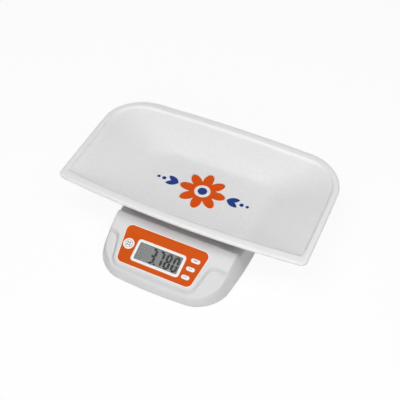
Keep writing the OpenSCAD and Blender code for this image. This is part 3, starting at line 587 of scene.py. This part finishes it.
def floor_ring(grow):
    """The flat floor's outline grown by `grow`."""
    tray = tray_sizes()
    middle = tray_middle()
    ring = rounded_rectangle(tray.floor_length / 2 + grow, tray.floor_width / 2 + grow,
                             FLOOR_FRONT_RADIUS, FLOOR_BACK_RADIUS, RING_STEPS)
    return at_height(ring + middle[:2] - np.array([0, tray.floor_ahead]), middle[2] - tray.depth)


def make_tray():
    """The tray as one closed shell: rings run from the floor's underside out over the skirt and the
    rim and back down the inner wall to the floor, with every bend rounded."""
    tray = tray_sizes()
    wall_top = rim_ring(tray.rim + 6 * MM, tray.bead + 3 * MM)
    wall_foot = floor_ring(3 * MM)
    floor = floor_ring(-FLOOR_INSET)
    down = np.array([0, 0, tray.wall])
    # inset and drop of each ring, from the underside round the skirt and over the rim
    under = [(tray.rim + 1 * MM, tray.bead + tray.wall), (tray.rim - 2 * MM, tray.wall + 1 * MM),
             (3.6 * MM, tray.wall + 0.6 * MM), (2.6 * MM, tray.skirt), (0.4 * MM, tray.skirt)]
    crown = [(0, 4 * MM), (0.7 * MM, 1.6 * MM), (3 * MM, 0.5 * MM), (0.45 * tray.rim, 0),
             (0.85 * tray.rim, 0.3 * MM), (tray.rim, 1 * MM), (tray.rim + 3 * MM, tray.bead)]
    rings = [floor - down, wall_foot - down, wall_top - down,
             *(rim_ring(inset, drop) for inset, drop in under + crown),
             wall_top, wall_foot, floor]
    # how far the rounding reaches from each ring between the first and the last
    reach = np.array([9, 3, 1, 1, 1, 0.6, 0.6, 3, 1.6, 2, 5, 2, 1.5, 2, 3, 14]) * MM
    stack = softened(np.stack(rings), reach, 9)
    obj = stacked("tray_skin", stack, "tray_unit", ["tray"], "tray")
    frosting = frosting_mask(obj)
    attribute = obj.data.attributes.new("frosting", "FLOAT", "POINT")
    attribute.data.foreach_set("value", frosting)


PEG_RADIUS = 6 * MM
# from the tray's middle, to each side and towards the front
PEG_PLACES = {"tray_peg_left": (-66, -10, 0), "tray_peg_right": (66, -10, 0)}


def make_tray_pegs():
    """The two round pegs under the tray that drop into the platform, with softened ends."""
    tray = tray_sizes()
    middle = tray_middle()
    foot = TRAY_LOW[2]
    top = middle[2] - tray.depth - tray.wall + 0.6 * MM
    levels = [(PEG_RADIUS, top), (PEG_RADIUS, foot + 1 * MM),
              (PEG_RADIUS - 0.3 * MM, foot + 0.3 * MM), (PEG_RADIUS - 1 * MM, foot)]
    for name, place in PEG_PLACES.items():
        centre = middle + np.array(place) * MM
        rings = np.stack([at_height(circle(centre, radius, 48), z) for radius, z in levels])
        stacked(name, rings, "tray_unit", [], "case")


# the frosting starts this far under the bead and comes in over the next stretch of height
FROST_START = 1.2 * MM
FROST_FADE = 1.5 * MM
# the least upward part of a normal that counts as facing up
FACING_UP = 0.1


def frosting_mask(obj):
    """1 inside the bead, 0 on the rim and outside, by each point's height and the wall's side."""
    depth = tray_middle()[2] - read_triples(obj.data.vertices, "co")[:, 2]
    inside = read_triples(obj.data.vertices, "normal")[:, 2] > FACING_UP
    return np.clip((depth - tray_sizes().bead - FROST_START) / FROST_FADE, 0, 1) * inside


PETALS = 8


def flower_radius(turn, size):
    """The flower's outline as a distance from its middle in each direction: the farthest point of
    any petal's ellipse or of the disc between them."""
    centre, long_r, short_r, disc_r = np.array([0.62, 0.38, 0.213, 0.55]) * size
    radius = np.full(turn.shape, disc_r)
    for k in range(PETALS):
        way = turn - k * 2 * math.pi / PETALS
        c, d = np.cos(way), np.sin(way)
        square = (c / long_r) ** 2 + (d / short_r) ** 2
        half = centre * c / long_r ** 2
        rest = half ** 2 - square * ((centre / long_r) ** 2 - 1)
        far = (half + np.sqrt(np.maximum(rest, 0))) / square
        radius = np.where((rest > 0) & (c > 0), np.maximum(radius, far), radius)
    return radius


BORDER_WIDTH = 2.2 * MM
BORDER_POINTS = 720
FILM_HALF = 0.1 * MM


def make_print_border():
    """A thin white film under the flower that shows as a border round it, in one closed piece."""
    low, high = np.array(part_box("print_orange"))
    middle = (low + high) / 2
    radius = flower_radius(full_turn(BORDER_POINTS), (high[0] - low[0]) / 2) + BORDER_WIDTH
    outline = circle(middle, radius, BORDER_POINTS)
    rings = np.stack([at_height(outline, z) for z in (low[2] - FILM_HALF, low[2] + FILM_HALF)])
    stacked("print_border", rings, "tray_unit", [], "white print")


# ---- upper cover ----

# cuts of each corner and each side of the base's outline, and a corner's least radius
CASE_STEPS = 90
LEAST_CASE_RADIUS = 5 * MM


def case_outline(inset):
    """The base's closed outline set in from its outer face, at the floor's size."""
    case = case_sizes()
    front, back = CASE_LOW[1] + case.front_bow, CASE_HIGH[1]
    a = case.width / 2 - inset
    b = (back - front) / 2 - inset
    r = max(case.radius - inset, LEAST_CASE_RADIUS)
    ring = bowed(rounded_rectangle(a, b, r, r, CASE_STEPS), a, b, case.front_bow, 0, case.side_bow)
    return ring + np.array([0, (front + back) / 2])


def open_outline(inset, front, count):
    """The part of the outline ahead of the console's back edge, or behind it, from one end to the
    other, at even distances along it."""
    back_y = console_back()
    ring = case_outline(inset)
    start = int(np.argmax(ring[:, 1])) if front else int(np.argmin(ring[:, 1]))
    ring = np.roll(ring, -start, axis=0)
    keep = ring[:, 1] < back_y if front else ring[:, 1] > back_y
    first, last = np.flatnonzero(keep)[[0, -1]]

    def crossing(p, q):
        return p + (q - p) * (back_y - p[1]) / (q[1] - p[1])

    path = np.concatenate([[crossing(ring[first - 1], ring[first])], ring[first:last + 1],
                           [crossing(ring[last], ring[(last + 1) % len(ring)])]])
    run = run_along(path)
    return along_path(path, run, np.linspace(0, run[-1], count))


def run_along(path):
    """The distance along a path at each of its points."""
    return np.concatenate([[0], np.cumsum(np.linalg.norm(np.diff(path, axis=0), axis=1))])


def along_path(path, run, places):
    """The path's points at the given distances along it."""
    return np.stack([np.interp(places, run, path[:, j]) for j in range(2)], axis=-1)


def trapezoid(bottom, top, low, high):
    """Corners of a shape that is `bottom` wide at `low` and `top` wide at `high`."""
    return np.array([[-bottom / 2, low], [bottom / 2, low], [top / 2, high], [-top / 2, high]])


def polygon_distance(x, y, corners):
    """Distance to a convex polygon's edge, negative inside."""
    best = np.full(x.shape, np.inf)
    outside = np.full(x.shape, -np.inf)
    for p, q in zip(corners, np.roll(corners, -1, axis=0)):
        edge = q - p
        size = np.hypot(*edge)
        t = np.clip(((x - p[0]) * edge[0] + (y - p[1]) * edge[1]) / size ** 2, 0, 1)
        best = np.minimum(best, np.hypot(x - p[0] - t * edge[0], y - p[1] - t * edge[1]))
        outside = np.maximum(outside, ((x - p[0]) * edge[1] - (y - p[1]) * edge[0]) / size)
    return np.where(outside > 0, best, -best)


def soft_min(a, b, k):
    """The smaller of two values, blended by a parabola where they differ by less than k."""
    h = np.clip(0.5 + 0.5 * (b - a) / k, 0, 1)
    return b + (a - b) * h - k * h * (1 - h)


def smooth_step(t):
    """Rises from 0 to 1 along a cubic with level ends."""
    t = np.clip(t, 0, 1)
    return t * t * (3 - 2 * t)


# how far the raised tongue goes past the faceplate
TONGUE_SIDE = 9 * MM
TONGUE_FOOT = 5 * MM
TONGUE_RISE = 8 * MM
TONGUE_RADIUS = 20 * MM
# blend of the tongue into the block behind it
TONGUE_BLEND = 14 * MM
# slope from the raised part to the lip: where it starts inside the edge, its width and its groove
SLOPE_START = 1 * MM
SLOPE_WIDTH = 5 * MM
GROOVE_DEPTH = 1.3 * MM
GROOVE_WIDTH = 1.7 * MM
# radius of the console's back edge
BACK_EDGE = 7 * MM
# how far the walls' rows run in from the outer face
EDGE_RUN = 22 * MM
CONSOLE_COLUMNS = 300
DECK_COLUMNS = 200
# the skin's share of the cover's wall
SKIN_SHARE = 0.8


def raised_distance(x, y):
    """Distance in plan from the raised part of the console, negative on it: a tongue round the
    faceplate joined to the full-width block behind it, with filleted inner corners."""
    panel = panel_sizes()
    r = TONGUE_RADIUS
    wider = 2 * (TONGUE_SIDE - r)
    corners = trapezoid(panel.bottom_width + wider, panel.top_width + wider,
                        -panel.depth / 2 - TONGUE_FOOT + r, panel.depth / 2 + TONGUE_RISE - r)
    tongue = polygon_distance(*place_on_face(x, y), corners) - r
    block = console_back() - case_sizes().block_depth - y
    return soft_min(tongue, block, TONGUE_BLEND)


def console_height(x, y):
    """Height of the console's top: the lip's plane, raised to the face's plane on the raised part
    through a soft slope, with a shallow groove along the slope's foot."""
    case = case_sizes()
    back_y = console_back()
    face = CASE_HIGH[2] + (y - back_y) * math.tan(case.tilt)
    drop = case.lip_drop / math.cos(case.tilt)
    away = raised_distance(x, y)
    lowered = smooth_step((away + SLOPE_START) / SLOPE_WIDTH)
    groove = GROOVE_DEPTH * np.exp(-((away - SLOPE_WIDTH) / GROOVE_WIDTH) ** 2)
    over = np.clip(y - (back_y - BACK_EDGE), 0, BACK_EDGE)
    rounding = BACK_EDGE - np.sqrt(BACK_EDGE ** 2 - over ** 2)
    return face - drop * lowered - groove - rounding


def skin_rows(front, count, top_of, edge_rows, spine_rows):
    """A grid over one part of the base: rows climb the drafted wall, turn over the soft top edge
    and run in to a straight line across the base at the console's back edge."""
    case = case_sizes()
    outer = open_outline(0, front, count)
    inner = open_outline(EDGE_RUN, front, count)
    rows = []
    insets = np.concatenate([np.linspace(0, 2 * MM, 5)[:-1],
                             np.linspace(2 * MM, EDGE_RUN, edge_rows)])
    for inset in insets:
        p = outer + (inner - outer) * inset / EDGE_RUN
        wall_z = CASE_LOW[2] + inset / case.draft
        rows.append(at_height(p, soft_min(wall_z, top_of(*p.T), case.soft_edge)))
    rows[0][:, 2] = CASE_LOW[2]
    spine = np.linspace(inner[0], inner[-1], count)
    spine[:, 1] = console_back()
    for t in np.linspace(0, 1, spine_rows)[1:]:
        p = inner + (spine - inner) * t
        rows.append(at_height(p, top_of(*p.T)))
    return rows


def make_upper_cover():
    """The upper cover as a skin of two grids, one over the console and one over the deck behind it,
    given its wall thickness inwards."""
    case = case_sizes()
    deck_z = CASE_HIGH[2] - case.console_rise
    console = skin_rows(True, CONSOLE_COLUMNS, console_height, edge_rows=44, spine_rows=84)
    last = console[-1]
    for t in np.linspace(0, 1, 4)[1:]:
        console.append(at_height(last[:, :2], last[:, 2] + (deck_z - last[:, 2]) * t))
    deck = skin_rows(False, DECK_COLUMNS, lambda x, y: np.full(x.shape, deck_z),
                     edge_rows=22, spine_rows=6)
    verts = np.concatenate(console + deck)
    quads = np.concatenate([
        grid_faces(len(console), CONSOLE_COLUMNS, False),
        grid_faces(len(deck), DECK_COLUMNS, False) + len(console) * CONSOLE_COLUMNS])
    quads = quads[~hidden_hole(verts[quads].mean(axis=1))]
    obj = piece_from("upper_cover_skin", verts, quads, NO_TRIS, "base",
                     ["upper_cover"], "case")
    shell = obj.modifiers.new("wall", "SOLIDIFY")
    shell.thickness = case.wall * SKIN_SHARE
    shell.offset = -1


def stadium_distance(u, v, width, height):
    """Distance to a bar with round ends lying along the first axis."""
    half = (width - height) / 2
    return np.hypot(np.maximum(np.abs(u) - half, 0), v) - height / 2


# the top button's place on the face and the step to the next, in millimetres
FIRST_BUTTON = np.array([71.5, 15.5])
NEXT_BUTTON = np.array([-3, -19.5])
# how much narrower each button is than the one above it
BUTTON_NARROWING = 1.2 * MM
# how far the skin's holes reach past the window, the buttons and the door's back end, and how far
# ahead of the console's back edge they stay
WINDOW_MARGIN = 2 * MM
BUTTON_MARGIN = 1.6 * MM
DOOR_MARGIN = 12 * MM
BACK_MARGIN = 6 * MM
# the display's middle on the face
DISPLAY_PLACE = np.array([-3, -6]) * MM


def button_place(i):
    return (FIRST_BUTTON + NEXT_BUTTON * i) * MM


def button_width(i):
    return panel_sizes().button_width - BUTTON_NARROWING * i


def hidden_hole(centres):
    """True where the skin is open: behind the display and round each button, all under other
    pieces, and at the battery door's back end."""
    panel = panel_sizes()
    u, v = place_on_face(centres[:, 0], centres[:, 1])
    du = np.abs(u - DISPLAY_PLACE[0]) - panel.window_width / 2
    dv = np.abs(v - DISPLAY_PLACE[1]) - panel.window_height / 2
    hole = np.maximum(du, dv) < WINDOW_MARGIN
    for i in range(len(BUTTONS)):
        x, y = button_place(i)
        away = stadium_distance(u - x, v - y, button_width(i), panel.button_height)
        hole |= away < BUTTON_MARGIN
    hole &= centres[:, 1] < console_back() - BACK_MARGIN
    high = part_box("battery_door")[1]
    door = (centres[:, 1] > high[1] - DOOR_MARGIN) & (np.abs(centres[:, 0]) < high[0])
    return hole | (door & (centres[:, 2] < high[2]))


# ---- console pieces ----

def face_ring(name, points, lift, replaced, finish):
    """A profile carried round on the face: points[i, k] along the face, lift[k] out of it."""
    grid = np.stack([at_height(row, lift) for row in points])
    verts = on_console(grid).reshape(-1, 3)
    quads = ring_faces(*grid.shape[:2])
    outward(piece_from(name, verts, quads, NO_TRIS, "base", replaced, finish))


def swept_ring(name, outline, profile, finish):
    """A closed profile of (outwards, up) pairs carried along a closed outline on the face, which
    runs anticlockwise."""
    step = np.roll(outline, -1, axis=0) - np.roll(outline, 1, axis=0)
    out = pair(step[:, 1], -step[:, 0])
    out /= np.linalg.norm(out, axis=-1, keepdims=True)
    points = outline[:, None, :] + out[:, None, :] * profile[None, :, :1]
    face_ring(name, points, profile[:, 1], [], finish)


def panel_outline():
    """The faceplate's outline with rounded corners."""
    panel = panel_sizes()
    r = panel.radius
    corners = trapezoid(panel.bottom_width, panel.top_width, -panel.depth / 2, panel.depth / 2)
    points = []
    for k, at in enumerate(corners):
        a, b = corners[k - 1] - at, corners[(k + 1) % 4] - at
        a /= np.linalg.norm(a)
        b /= np.linalg.norm(b)
        half = math.acos(float(a @ b)) / 2
        centre = at + (a + b) / np.linalg.norm(a + b) * r / math.sin(half)
        start = at + a * r / math.tan(half) - centre
        end = at + b * r / math.tan(half) - centre
        turn = math.atan2(start[0] * end[1] - start[1] * end[0], float(start @ end))
        t = np.linspace(0, turn, 24)
        points.append(centre + pair(start[0] * np.cos(t) - start[1] * np.sin(t),
                                    start[0] * np.sin(t) + start[1] * np.cos(t)))
    return np.concatenate(points)


def resampled(outline, spacing):
    """The closed outline cut at even distances."""
    closed = np.concatenate([outline, outline[:1]])
    run = run_along(closed)
    return along_path(closed, run, np.linspace(0, run[-1], int(run[-1] / spacing), endpoint=False))


def rounded_profile(inner, outer, bottom, top, edge):
    """A closed profile between two sides, flat below, with its two upper edges rounded."""
    t = np.linspace(0, math.pi / 2, 6)
    right = pair(outer - edge + edge * np.cos(t), top - edge + edge * np.sin(t))
    left = pair(inner + edge - edge * np.sin(t), top - edge + edge * np.cos(t))
    return np.concatenate([[[inner, bottom], [outer, bottom]], right, left])


# the faceplate's white line: its reach inside and outside the edge, its height and its rounding
LINE_INSIDE = 1.5 * MM
LINE_OUTSIDE = 0.15 * MM
LINE_HEIGHT = 0.15 * MM
LINE_EDGE = 0.12 * MM


def make_panel_border():
    """The white line printed along the faceplate's edge."""
    top = panel_sizes().proud + LINE_HEIGHT
    profile = rounded_profile(-LINE_INSIDE, LINE_OUTSIDE, 0.0, top, LINE_EDGE)
    outline = resampled(panel_outline(), 1.5 * MM)
    swept_ring("faceplate_border", outline, profile, "white print")


# the display frame's corner radii, and the heights of its foot, its edges and its crown over them
WINDOW_RADIUS = 2 * MM
FRAME_RADIUS = 7 * MM
FRAME_FOOT = -0.4 * MM
FRAME_EDGE = 0.35 * MM
FRAME_CROWN = 0.825 * MM


def make_display_frame():
    """The white frame: a softly rounded profile carried round the window."""
    panel = panel_sizes()
    a, b, border = panel.window_width / 2, panel.window_height / 2, panel.frame_border
    inner = rounded_rectangle(a, b, WINDOW_RADIUS, WINDOW_RADIUS, 14)
    outer = rounded_rectangle(a + border, b + border, FRAME_RADIUS, FRAME_RADIUS, 14)
    t = np.linspace(0, 1, 11)
    across = np.concatenate([[0], t, [1]])[None, :, None]
    crown = FRAME_EDGE + FRAME_CROWN * np.sqrt(np.sin(t * math.pi))
    lift = np.concatenate([[FRAME_FOOT], crown, [FRAME_FOOT]])
    points = inner[:, None, :] + (outer - inner)[:, None, :] * across + DISPLAY_PLACE
    face_ring("display_frame_ring", points, lift, ["display_frame"], "button")


def disc_on_face(name, centre, levels, replaced, finish, count):
    """A turned piece standing on the face: (radius, height) pairs spun about its middle."""
    rings = np.stack([at_height(circle(centre, radius, count), z) for radius, z in levels])
    stacked(name, on_console(rings), "base", replaced, finish)


DIGIT_WIDTH = 12.8 * MM
DIGIT_HEIGHT = 34 * MM
DIGIT_PITCH = 17 * MM
# the width that places the bars, and the width that they are drawn with
DIGIT_LINE = 4 * MM
DIGIT_STROKE = 5 * MM
BAR_GAP = 0.2 * MM
# from the last digit to the window's right side
DIGIT_MARGIN = 4 * MM
INK = 0.12 * MM
# the dark bars of each digit, from the top clockwise, with the middle bar last
DARK_BARS = ((0, 1, 2, 3, 6), (0, 1, 2), (0, 1, 2, 3, 4, 5, 6), (0, 1, 2, 3, 4, 5))
UPRIGHT_BARS = (1, 2, 4, 5)
# the decimal point's corners, and its place from the foot of the digit after it
POINT_CORNERS = np.array([(0, 2), (0, 0), (3.4, 0), (3.4, 2), (3.4, 4), (0, 4)]) * MM
POINT_PLACE = np.array([-1.1, -2.3]) * MM


def bar_outline(start, upright, size):
    """Corners of one bar of a digit: a strip with pointed ends, along the face or up it."""
    half = DIGIT_STROKE / 2
    near, far = BAR_GAP, size - BAR_GAP
    along = np.array([near, near + half, far - half, far, far - half, near + half])
    across = np.array([0, -half, -half, 0, half, half])
    return np.stack([-across, along] if upright else [along, across], axis=-1) + start


def digit_outlines():
    """Corners of every dark bar of the reading and of its point, six to each."""
    wide = DIGIT_WIDTH - DIGIT_LINE
    tall = (DIGIT_HEIGHT - DIGIT_LINE) / 2
    starts = np.array([(0, 2 * tall), (wide, tall), (wide, 0), (0, 0), (0, 0), (0, tall),
                       (0, tall)])
    last = panel_sizes().window_width / 2 - DIGIT_MARGIN - DIGIT_WIDTH + DIGIT_LINE / 2
    foot = DISPLAY_PLACE + np.array([last, -tall])
    outlines = []
    for place, bars in enumerate(DARK_BARS):
        corner = foot - np.array([(len(DARK_BARS) - 1 - place) * DIGIT_PITCH, 0])
        for bar in bars:
            upright = bar in UPRIGHT_BARS
            outlines.append(bar_outline(corner + starts[bar], upright, tall if upright else wide))
    before_point = foot - np.array([2 * DIGIT_PITCH + DIGIT_LINE, 0])
    outlines.append(POINT_CORNERS + before_point + POINT_PLACE)
    return np.stack(outlines)


def make_digits():
    """The reading's digits: each dark bar is a thin closed plate on the glass."""
    outlines = digit_outlines()
    glass_top = -(case_sizes().wall + 0.1 * MM)
    flat = outlines.reshape(-1, 2)
    rings = np.stack([at_height(flat, z).reshape(-1, 6, 3) for z in (glass_top, glass_top + INK)],
                     axis=1)
    plate = np.concatenate([grid_faces(2, 6, True),
                            [(5, 2, 1, 0), (5, 4, 3, 2), (6, 7, 8, 11), (8, 9, 10, 11)]])
    quads = np.concatenate([plate + 12 * k for k in range(len(outlines))])
    obj = piece_from("reading", on_console(rings.reshape(-1, 3)), quads, NO_TRIS,
                     "base", ["display_digits"], "digit")
    outward(obj)


BADGE_PLACE = np.array([-74, 0.5]) * MM
BADGE_DOTS = 4


def make_badge():
    """The round badge: a white disc with a soft rim, bare but for a plain ring and four dots."""
    low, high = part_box("badge_disc")
    radius = (high[0] - low[0]) / 2
    base = panel_sizes().proud
    levels = [(radius, base), (radius, base + 0.2 * MM), (radius * 0.97, base + 0.42 * MM),
              (radius * 0.9, base + 0.48 * MM), (radius * 0.3, base + 0.48 * MM)]
    disc_on_face("badge", BADGE_PLACE, levels, ["badge_disc"], "button", 64)
    profile = rounded_profile(-0.45 * MM, 0.45 * MM, base + 0.4 * MM, base + 0.56 * MM, 0.05 * MM)
    swept_ring("badge_ring", circle(BADGE_PLACE, radius * 0.66, 72), profile, "mark")
    dots = [(radius * 0.16, base + 0.4 * MM), (radius * 0.16, base + 0.52 * MM),
            (radius * 0.1, base + 0.56 * MM)]
    for k in range(BADGE_DOTS):
        turn = math.pi / 4 + k * 2 * math.pi / BADGE_DOTS
        spot = BADGE_PLACE + radius * 0.3 * np.array([math.cos(turn), math.sin(turn)])
        disc_on_face("badge_dot_%d" % k, spot, dots, [], "mark", 24)


def stadium_outline(width, height, steps):
    """A bar with round ends as one closed outline."""
    half = (width - height) / 2
    t = np.linspace(-math.pi / 2, math.pi / 2, steps)
    right = pair(half + height / 2 * np.cos(t), height / 2 * np.sin(t))
    return np.concatenate([right, -right])


# each button's node and body, and the places and width of its marks: one bar, two bars, three dots
BUTTONS = [
    ("power_button", "power_key", (0,), 9 * MM),
    ("hold_button", "hold_key", (-2.4 * MM, 2.4 * MM), 3.4 * MM),
    ("tare_button", "tare_key", (-2.8 * MM, 0, 2.8 * MM), 1.9 * MM),
]
MARK_HEIGHT = 1.8 * MM
# heights of a cap over the face: the flange's foot and top, the side's top and the crown's top
CAP_FOOT = -3.5 * MM
CAP_FLANGE = -2.65 * MM
CAP_SIDE = 0.55 * MM
CAP_TOP = 1.5 * MM
FLANGE_WIDTH = 1.2 * MM
# the cap's edge turns in by this much while it rises by that much
EDGE_IN = 1.1 * MM
EDGE_RISE = 0.7 * MM
# the crown stops short of the oval's middle line by this much
CROWN_STOP = 1.3 * MM


def cap_levels(height):
    """How far each ring of a cap is grown, and its height: the flange, the side, a quarter turn of
    the edge and a parabola over the crown."""
    levels = [(FLANGE_WIDTH, CAP_FOOT), (FLANGE_WIDTH, CAP_FLANGE), (0, CAP_FLANGE), (0, CAP_SIDE)]
    for t in np.linspace(0, math.pi / 2, 7):
        levels.append((-EDGE_IN * (1 - math.cos(t)), CAP_SIDE + EDGE_RISE * math.sin(t)))
    for t in np.linspace(0, 1, 7)[1:]:
        edge_top = CAP_SIDE + EDGE_RISE
        levels.append((-EDGE_IN - (height / 2 - CROWN_STOP) * t,
                       edge_top + (CAP_TOP - edge_top) * (1 - (1 - t) ** 2)))
    return levels


def make_buttons():
    """Three oval caps with crowned tops, each ring the oval drawn in towards its middle line, and
    their marks as thin plates on the crown."""
    height = panel_sizes().button_height
    for i, (node, body, shifts, mark_width) in enumerate(BUTTONS):
        place, width = button_place(i), button_width(i)
        rings = np.stack([
            at_height(stadium_outline(width + 2 * grow, height + 2 * grow, 20) + place, level)
            for grow, level in cap_levels(height)])
        stacked(node + "_cap", on_console(rings), body, [node], "button")
        outline = stadium_outline(mark_width, MARK_HEIGHT, 8) + place
        for number, shift in enumerate(shifts):
            mark = np.stack([at_height(outline + np.array([shift, 0]), level)
                             for level in (CAP_TOP - 0.25 * MM, CAP_TOP + 0.02 * MM)])
            name = "%s_mark_%d" % (node, number)
            stacked(name, on_console(mark), body, [], "mark")


# ---- stage ----

LAMP_DISTANCE = 2.3
# name, turn from the front towards the right and height angle in degrees, side in metres, watts
LAMPS = [
    ("high lamp", -25, 66, 1.5, 30.5),
    ("right lamp", 78, 54, 1.0, 15),
    ("low right lamp", 30, 25, 1.0, 7.5),
    ("front lamp", 5, 25, 1.0, 7.5),
    ("back lamp", 180, 50, 1.0, 4),
    ("low back lamp", -150, 12, 0.8, 5),
]
FLOOR_HALF = 6.0
FLOOR_Z = -0.5 * MM
# how much of the floor's look is its own white rather than the light on it
FLOOR_SHARE = 0.91


def direction(azimuth, elevation):
    """The way out by the turn from the front towards the right and the height angle."""
    level = math.cos(elevation)
    return Vector((math.sin(azimuth) * level, -math.cos(azimuth) * level, math.sin(elevation)))


def add_object(name, data):
    obj = bpy.data.objects.new(name, data)
    bpy.context.scene.collection.objects.link(obj)
    return obj


def make_camera():
    """The camera stands on a sphere round its aim, by azimuth and elevation, then rolls."""
    stage = bpy.context.scene.baby_scale_stage
    back = direction(stage.azimuth, stage.elevation)
    right = Vector((math.cos(stage.azimuth), math.sin(stage.azimuth), 0))
    up = back.cross(right)
    rolled_right = right * math.cos(stage.roll) + up * math.sin(stage.roll)
    rolled_up = up * math.cos(stage.roll) - right * math.sin(stage.roll)
    place = Vector(stage.aim) + Vector(tray_middle()) + back * stage.distance
    data = bpy.data.cameras.new("camera")
    data.sensor_width = 36
    data.lens = stage.focal
    data.clip_start = 0.05
    data.clip_end = 50
    obj = add_object("camera", data)
    turn = Matrix((rolled_right, rolled_up, back)).transposed()
    obj.matrix_world = Matrix.Translation(place) @ turn.to_4x4()
    bpy.context.scene.camera = obj


def soft_lamp(name, azimuth, elevation, side, power):
    """A square soft box turned towards the tray's middle."""
    way = direction(math.radians(azimuth), math.radians(elevation))
    data = bpy.data.lights.new(name, "AREA")
    data.shape = "SQUARE"
    data.size = side
    data.energy = power
    place = Vector(tray_middle()) + way * LAMP_DISTANCE
    turn = way.to_track_quat("Z", "Y").to_matrix().to_4x4()
    add_object(name, data).matrix_world = Matrix.Translation(place) @ turn


def make_floor():
    """A large white floor. Seen straight by the camera it is mostly its own white, and a part of
    the light on it is mixed in, so that the object's shadow stays."""
    corners = np.array([(-1, -1), (1, -1), (1, 1), (-1, 1)]) * FLOOR_HALF
    mesh = bpy.data.meshes.new("floor")
    mesh.from_pydata(at_height(corners, FLOOR_Z).tolist(), [], [(0, 1, 2, 3)])
    floor = add_object("floor", mesh)
    surface = Surface("floor")
    surface.shader.inputs["Roughness"].default_value = 0.9
    surface.shader.inputs["Base Color"].default_value = (0.93, 0.93, 0.93, 1)
    surface.shader.inputs["Specular IOR Level"].default_value = 0.1
    own_white = surface.node("ShaderNodeEmission", Strength=1)
    straight = ray_kind(surface.tree, "Is Camera Ray", "Is Glossy Ray", "Is Transmission Ray")
    mix = surface.node("ShaderNodeMixShader")
    join = surface.tree.links.new
    join(math_node(surface.tree, "MULTIPLY", straight, FLOOR_SHARE), mix.inputs["Fac"])
    join(surface.shader.outputs["BSDF"], mix.inputs[1])
    join(own_white.outputs["Emission"], mix.inputs[2])
    join(mix.outputs["Shader"], surface.tree.nodes["Material Output"].inputs["Surface"])
    floor.data.materials.append(surface.material)


def ray_kind(tree, first, *others):
    """1 for rays of any of the given kinds, else 0."""
    path = tree.nodes.new("ShaderNodeLightPath")
    value = path.outputs[first]
    for name in others:
        value = math_node(tree, "MAXIMUM", value, path.outputs[name])
    return value


def make_world():
    """A surround that looks white and gives the object next to no light."""
    world = bpy.data.worlds.new("studio")
    bpy.context.scene.world = world
    world.use_nodes = True
    tree = world.node_tree
    ground = tree.nodes["Background"]
    ground.inputs["Color"].default_value = (1, 1, 1, 1)
    strength = spread(tree, ray_kind(tree, "Is Camera Ray", "Is Transmission Ray"), 0.02, 1.0)
    tree.links.new(strength, ground.inputs["Strength"])


# ---- operators ----

def require_finishes():
    """Every piece takes a finish, so none can be made before them."""
    if not MATERIAL:
        raise RuntimeError("The finishes must be made before this piece")


class BABYSCALE_OT_finishes(bpy.types.Operator):
    """Makes the materials and gives the construction's own nodes theirs."""
    bl_idname = "babyscale.finishes"
    bl_label = "Finishes"

    def execute(self, context):
        missing = set(NODE_FINISH) - set(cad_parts)
        if missing:
            raise RuntimeError("The frame lacks these nodes: %s" % sorted(missing))
        MATERIAL.update(finishes())
        cad_finishes()
        return {"FINISHED"}


class BABYSCALE_OT_tray(bpy.types.Operator):
    """Makes the tray and the border of its printed design."""
    bl_idname = "babyscale.tray"
    bl_label = "Tray"

    def execute(self, context):
        require_finishes()
        make_tray()
        make_tray_pegs()
        make_print_border()
        return {"FINISHED"}


class BABYSCALE_OT_upper_cover(bpy.types.Operator):
    """Makes the upper cover's soft-edged skin."""
    bl_idname = "babyscale.upper_cover"
    bl_label = "Upper cover"

    def execute(self, context):
        require_finishes()
        make_upper_cover()
        return {"FINISHED"}


class BABYSCALE_OT_console(bpy.types.Operator):
    """Makes the faceplate's border, the display's frame and digits, and the badge."""
    bl_idname = "babyscale.console"
    bl_label = "Console"

    def execute(self, context):
        require_finishes()
        make_panel_border()
        make_display_frame()
        make_digits()
        make_badge()
        return {"FINISHED"}


class BABYSCALE_OT_buttons(bpy.types.Operator):
    """Makes the three buttons with their marks."""
    bl_idname = "babyscale.buttons"
    bl_label = "Buttons"

    def execute(self, context):
        require_finishes()
        make_buttons()
        return {"FINISHED"}


class BABYSCALE_OT_stage(bpy.types.Operator):
    """Sets up the camera, the lamps, the floor and the background."""
    bl_idname = "babyscale.stage"
    bl_label = "Stage"

    def execute(self, context):
        make_camera()
        make_world()
        make_floor()
        for lamp in LAMPS:
            soft_lamp(*lamp)
        context.scene.view_settings.view_transform = "Standard"
        if context.scene.camera is None:
            raise RuntimeError("The stage has no camera")
        return {"FINISHED"}


class BABYSCALE_PT_panel(bpy.types.Panel):
    bl_label = "Baby scale"
    bl_idname = "BABYSCALE_PT_panel"
    bl_space_type = "VIEW_3D"
    bl_region_type = "UI"
    bl_category = "Baby scale"

    def draw(self, context):
        for operator in OPERATORS:
            self.layout.operator(operator.bl_idname)


OPERATORS = (BABYSCALE_OT_finishes, BABYSCALE_OT_tray, BABYSCALE_OT_upper_cover,
             BABYSCALE_OT_console, BABYSCALE_OT_buttons, BABYSCALE_OT_stage)
GROUPS = {
    "baby_scale_tray": TraySettings,
    "baby_scale_case": CaseSettings,
    "baby_scale_panel": PanelSettings,
    "baby_scale_finish": FinishColours,
    "baby_scale_stage": StageSettings,
}


def register():
    for cls in (*GROUPS.values(), *OPERATORS, BABYSCALE_PT_panel):
        bpy.utils.register_class(cls)
    for name, group in GROUPS.items():
        setattr(bpy.types.Scene, name, PointerProperty(type=group))


def unregister():
    for name in GROUPS:
        delattr(bpy.types.Scene, name)
    for cls in (BABYSCALE_PT_panel, *reversed(OPERATORS), *reversed(tuple(GROUPS.values()))):
        bpy.utils.unregister_class(cls)


def main():
    register()
    bpy.ops.babyscale.finishes()
    bpy.ops.babyscale.tray()
    bpy.ops.babyscale.upper_cover()
    bpy.ops.babyscale.console()
    bpy.ops.babyscale.buttons()
    bpy.ops.babyscale.stage()


if __name__ == "__main__":
    main()
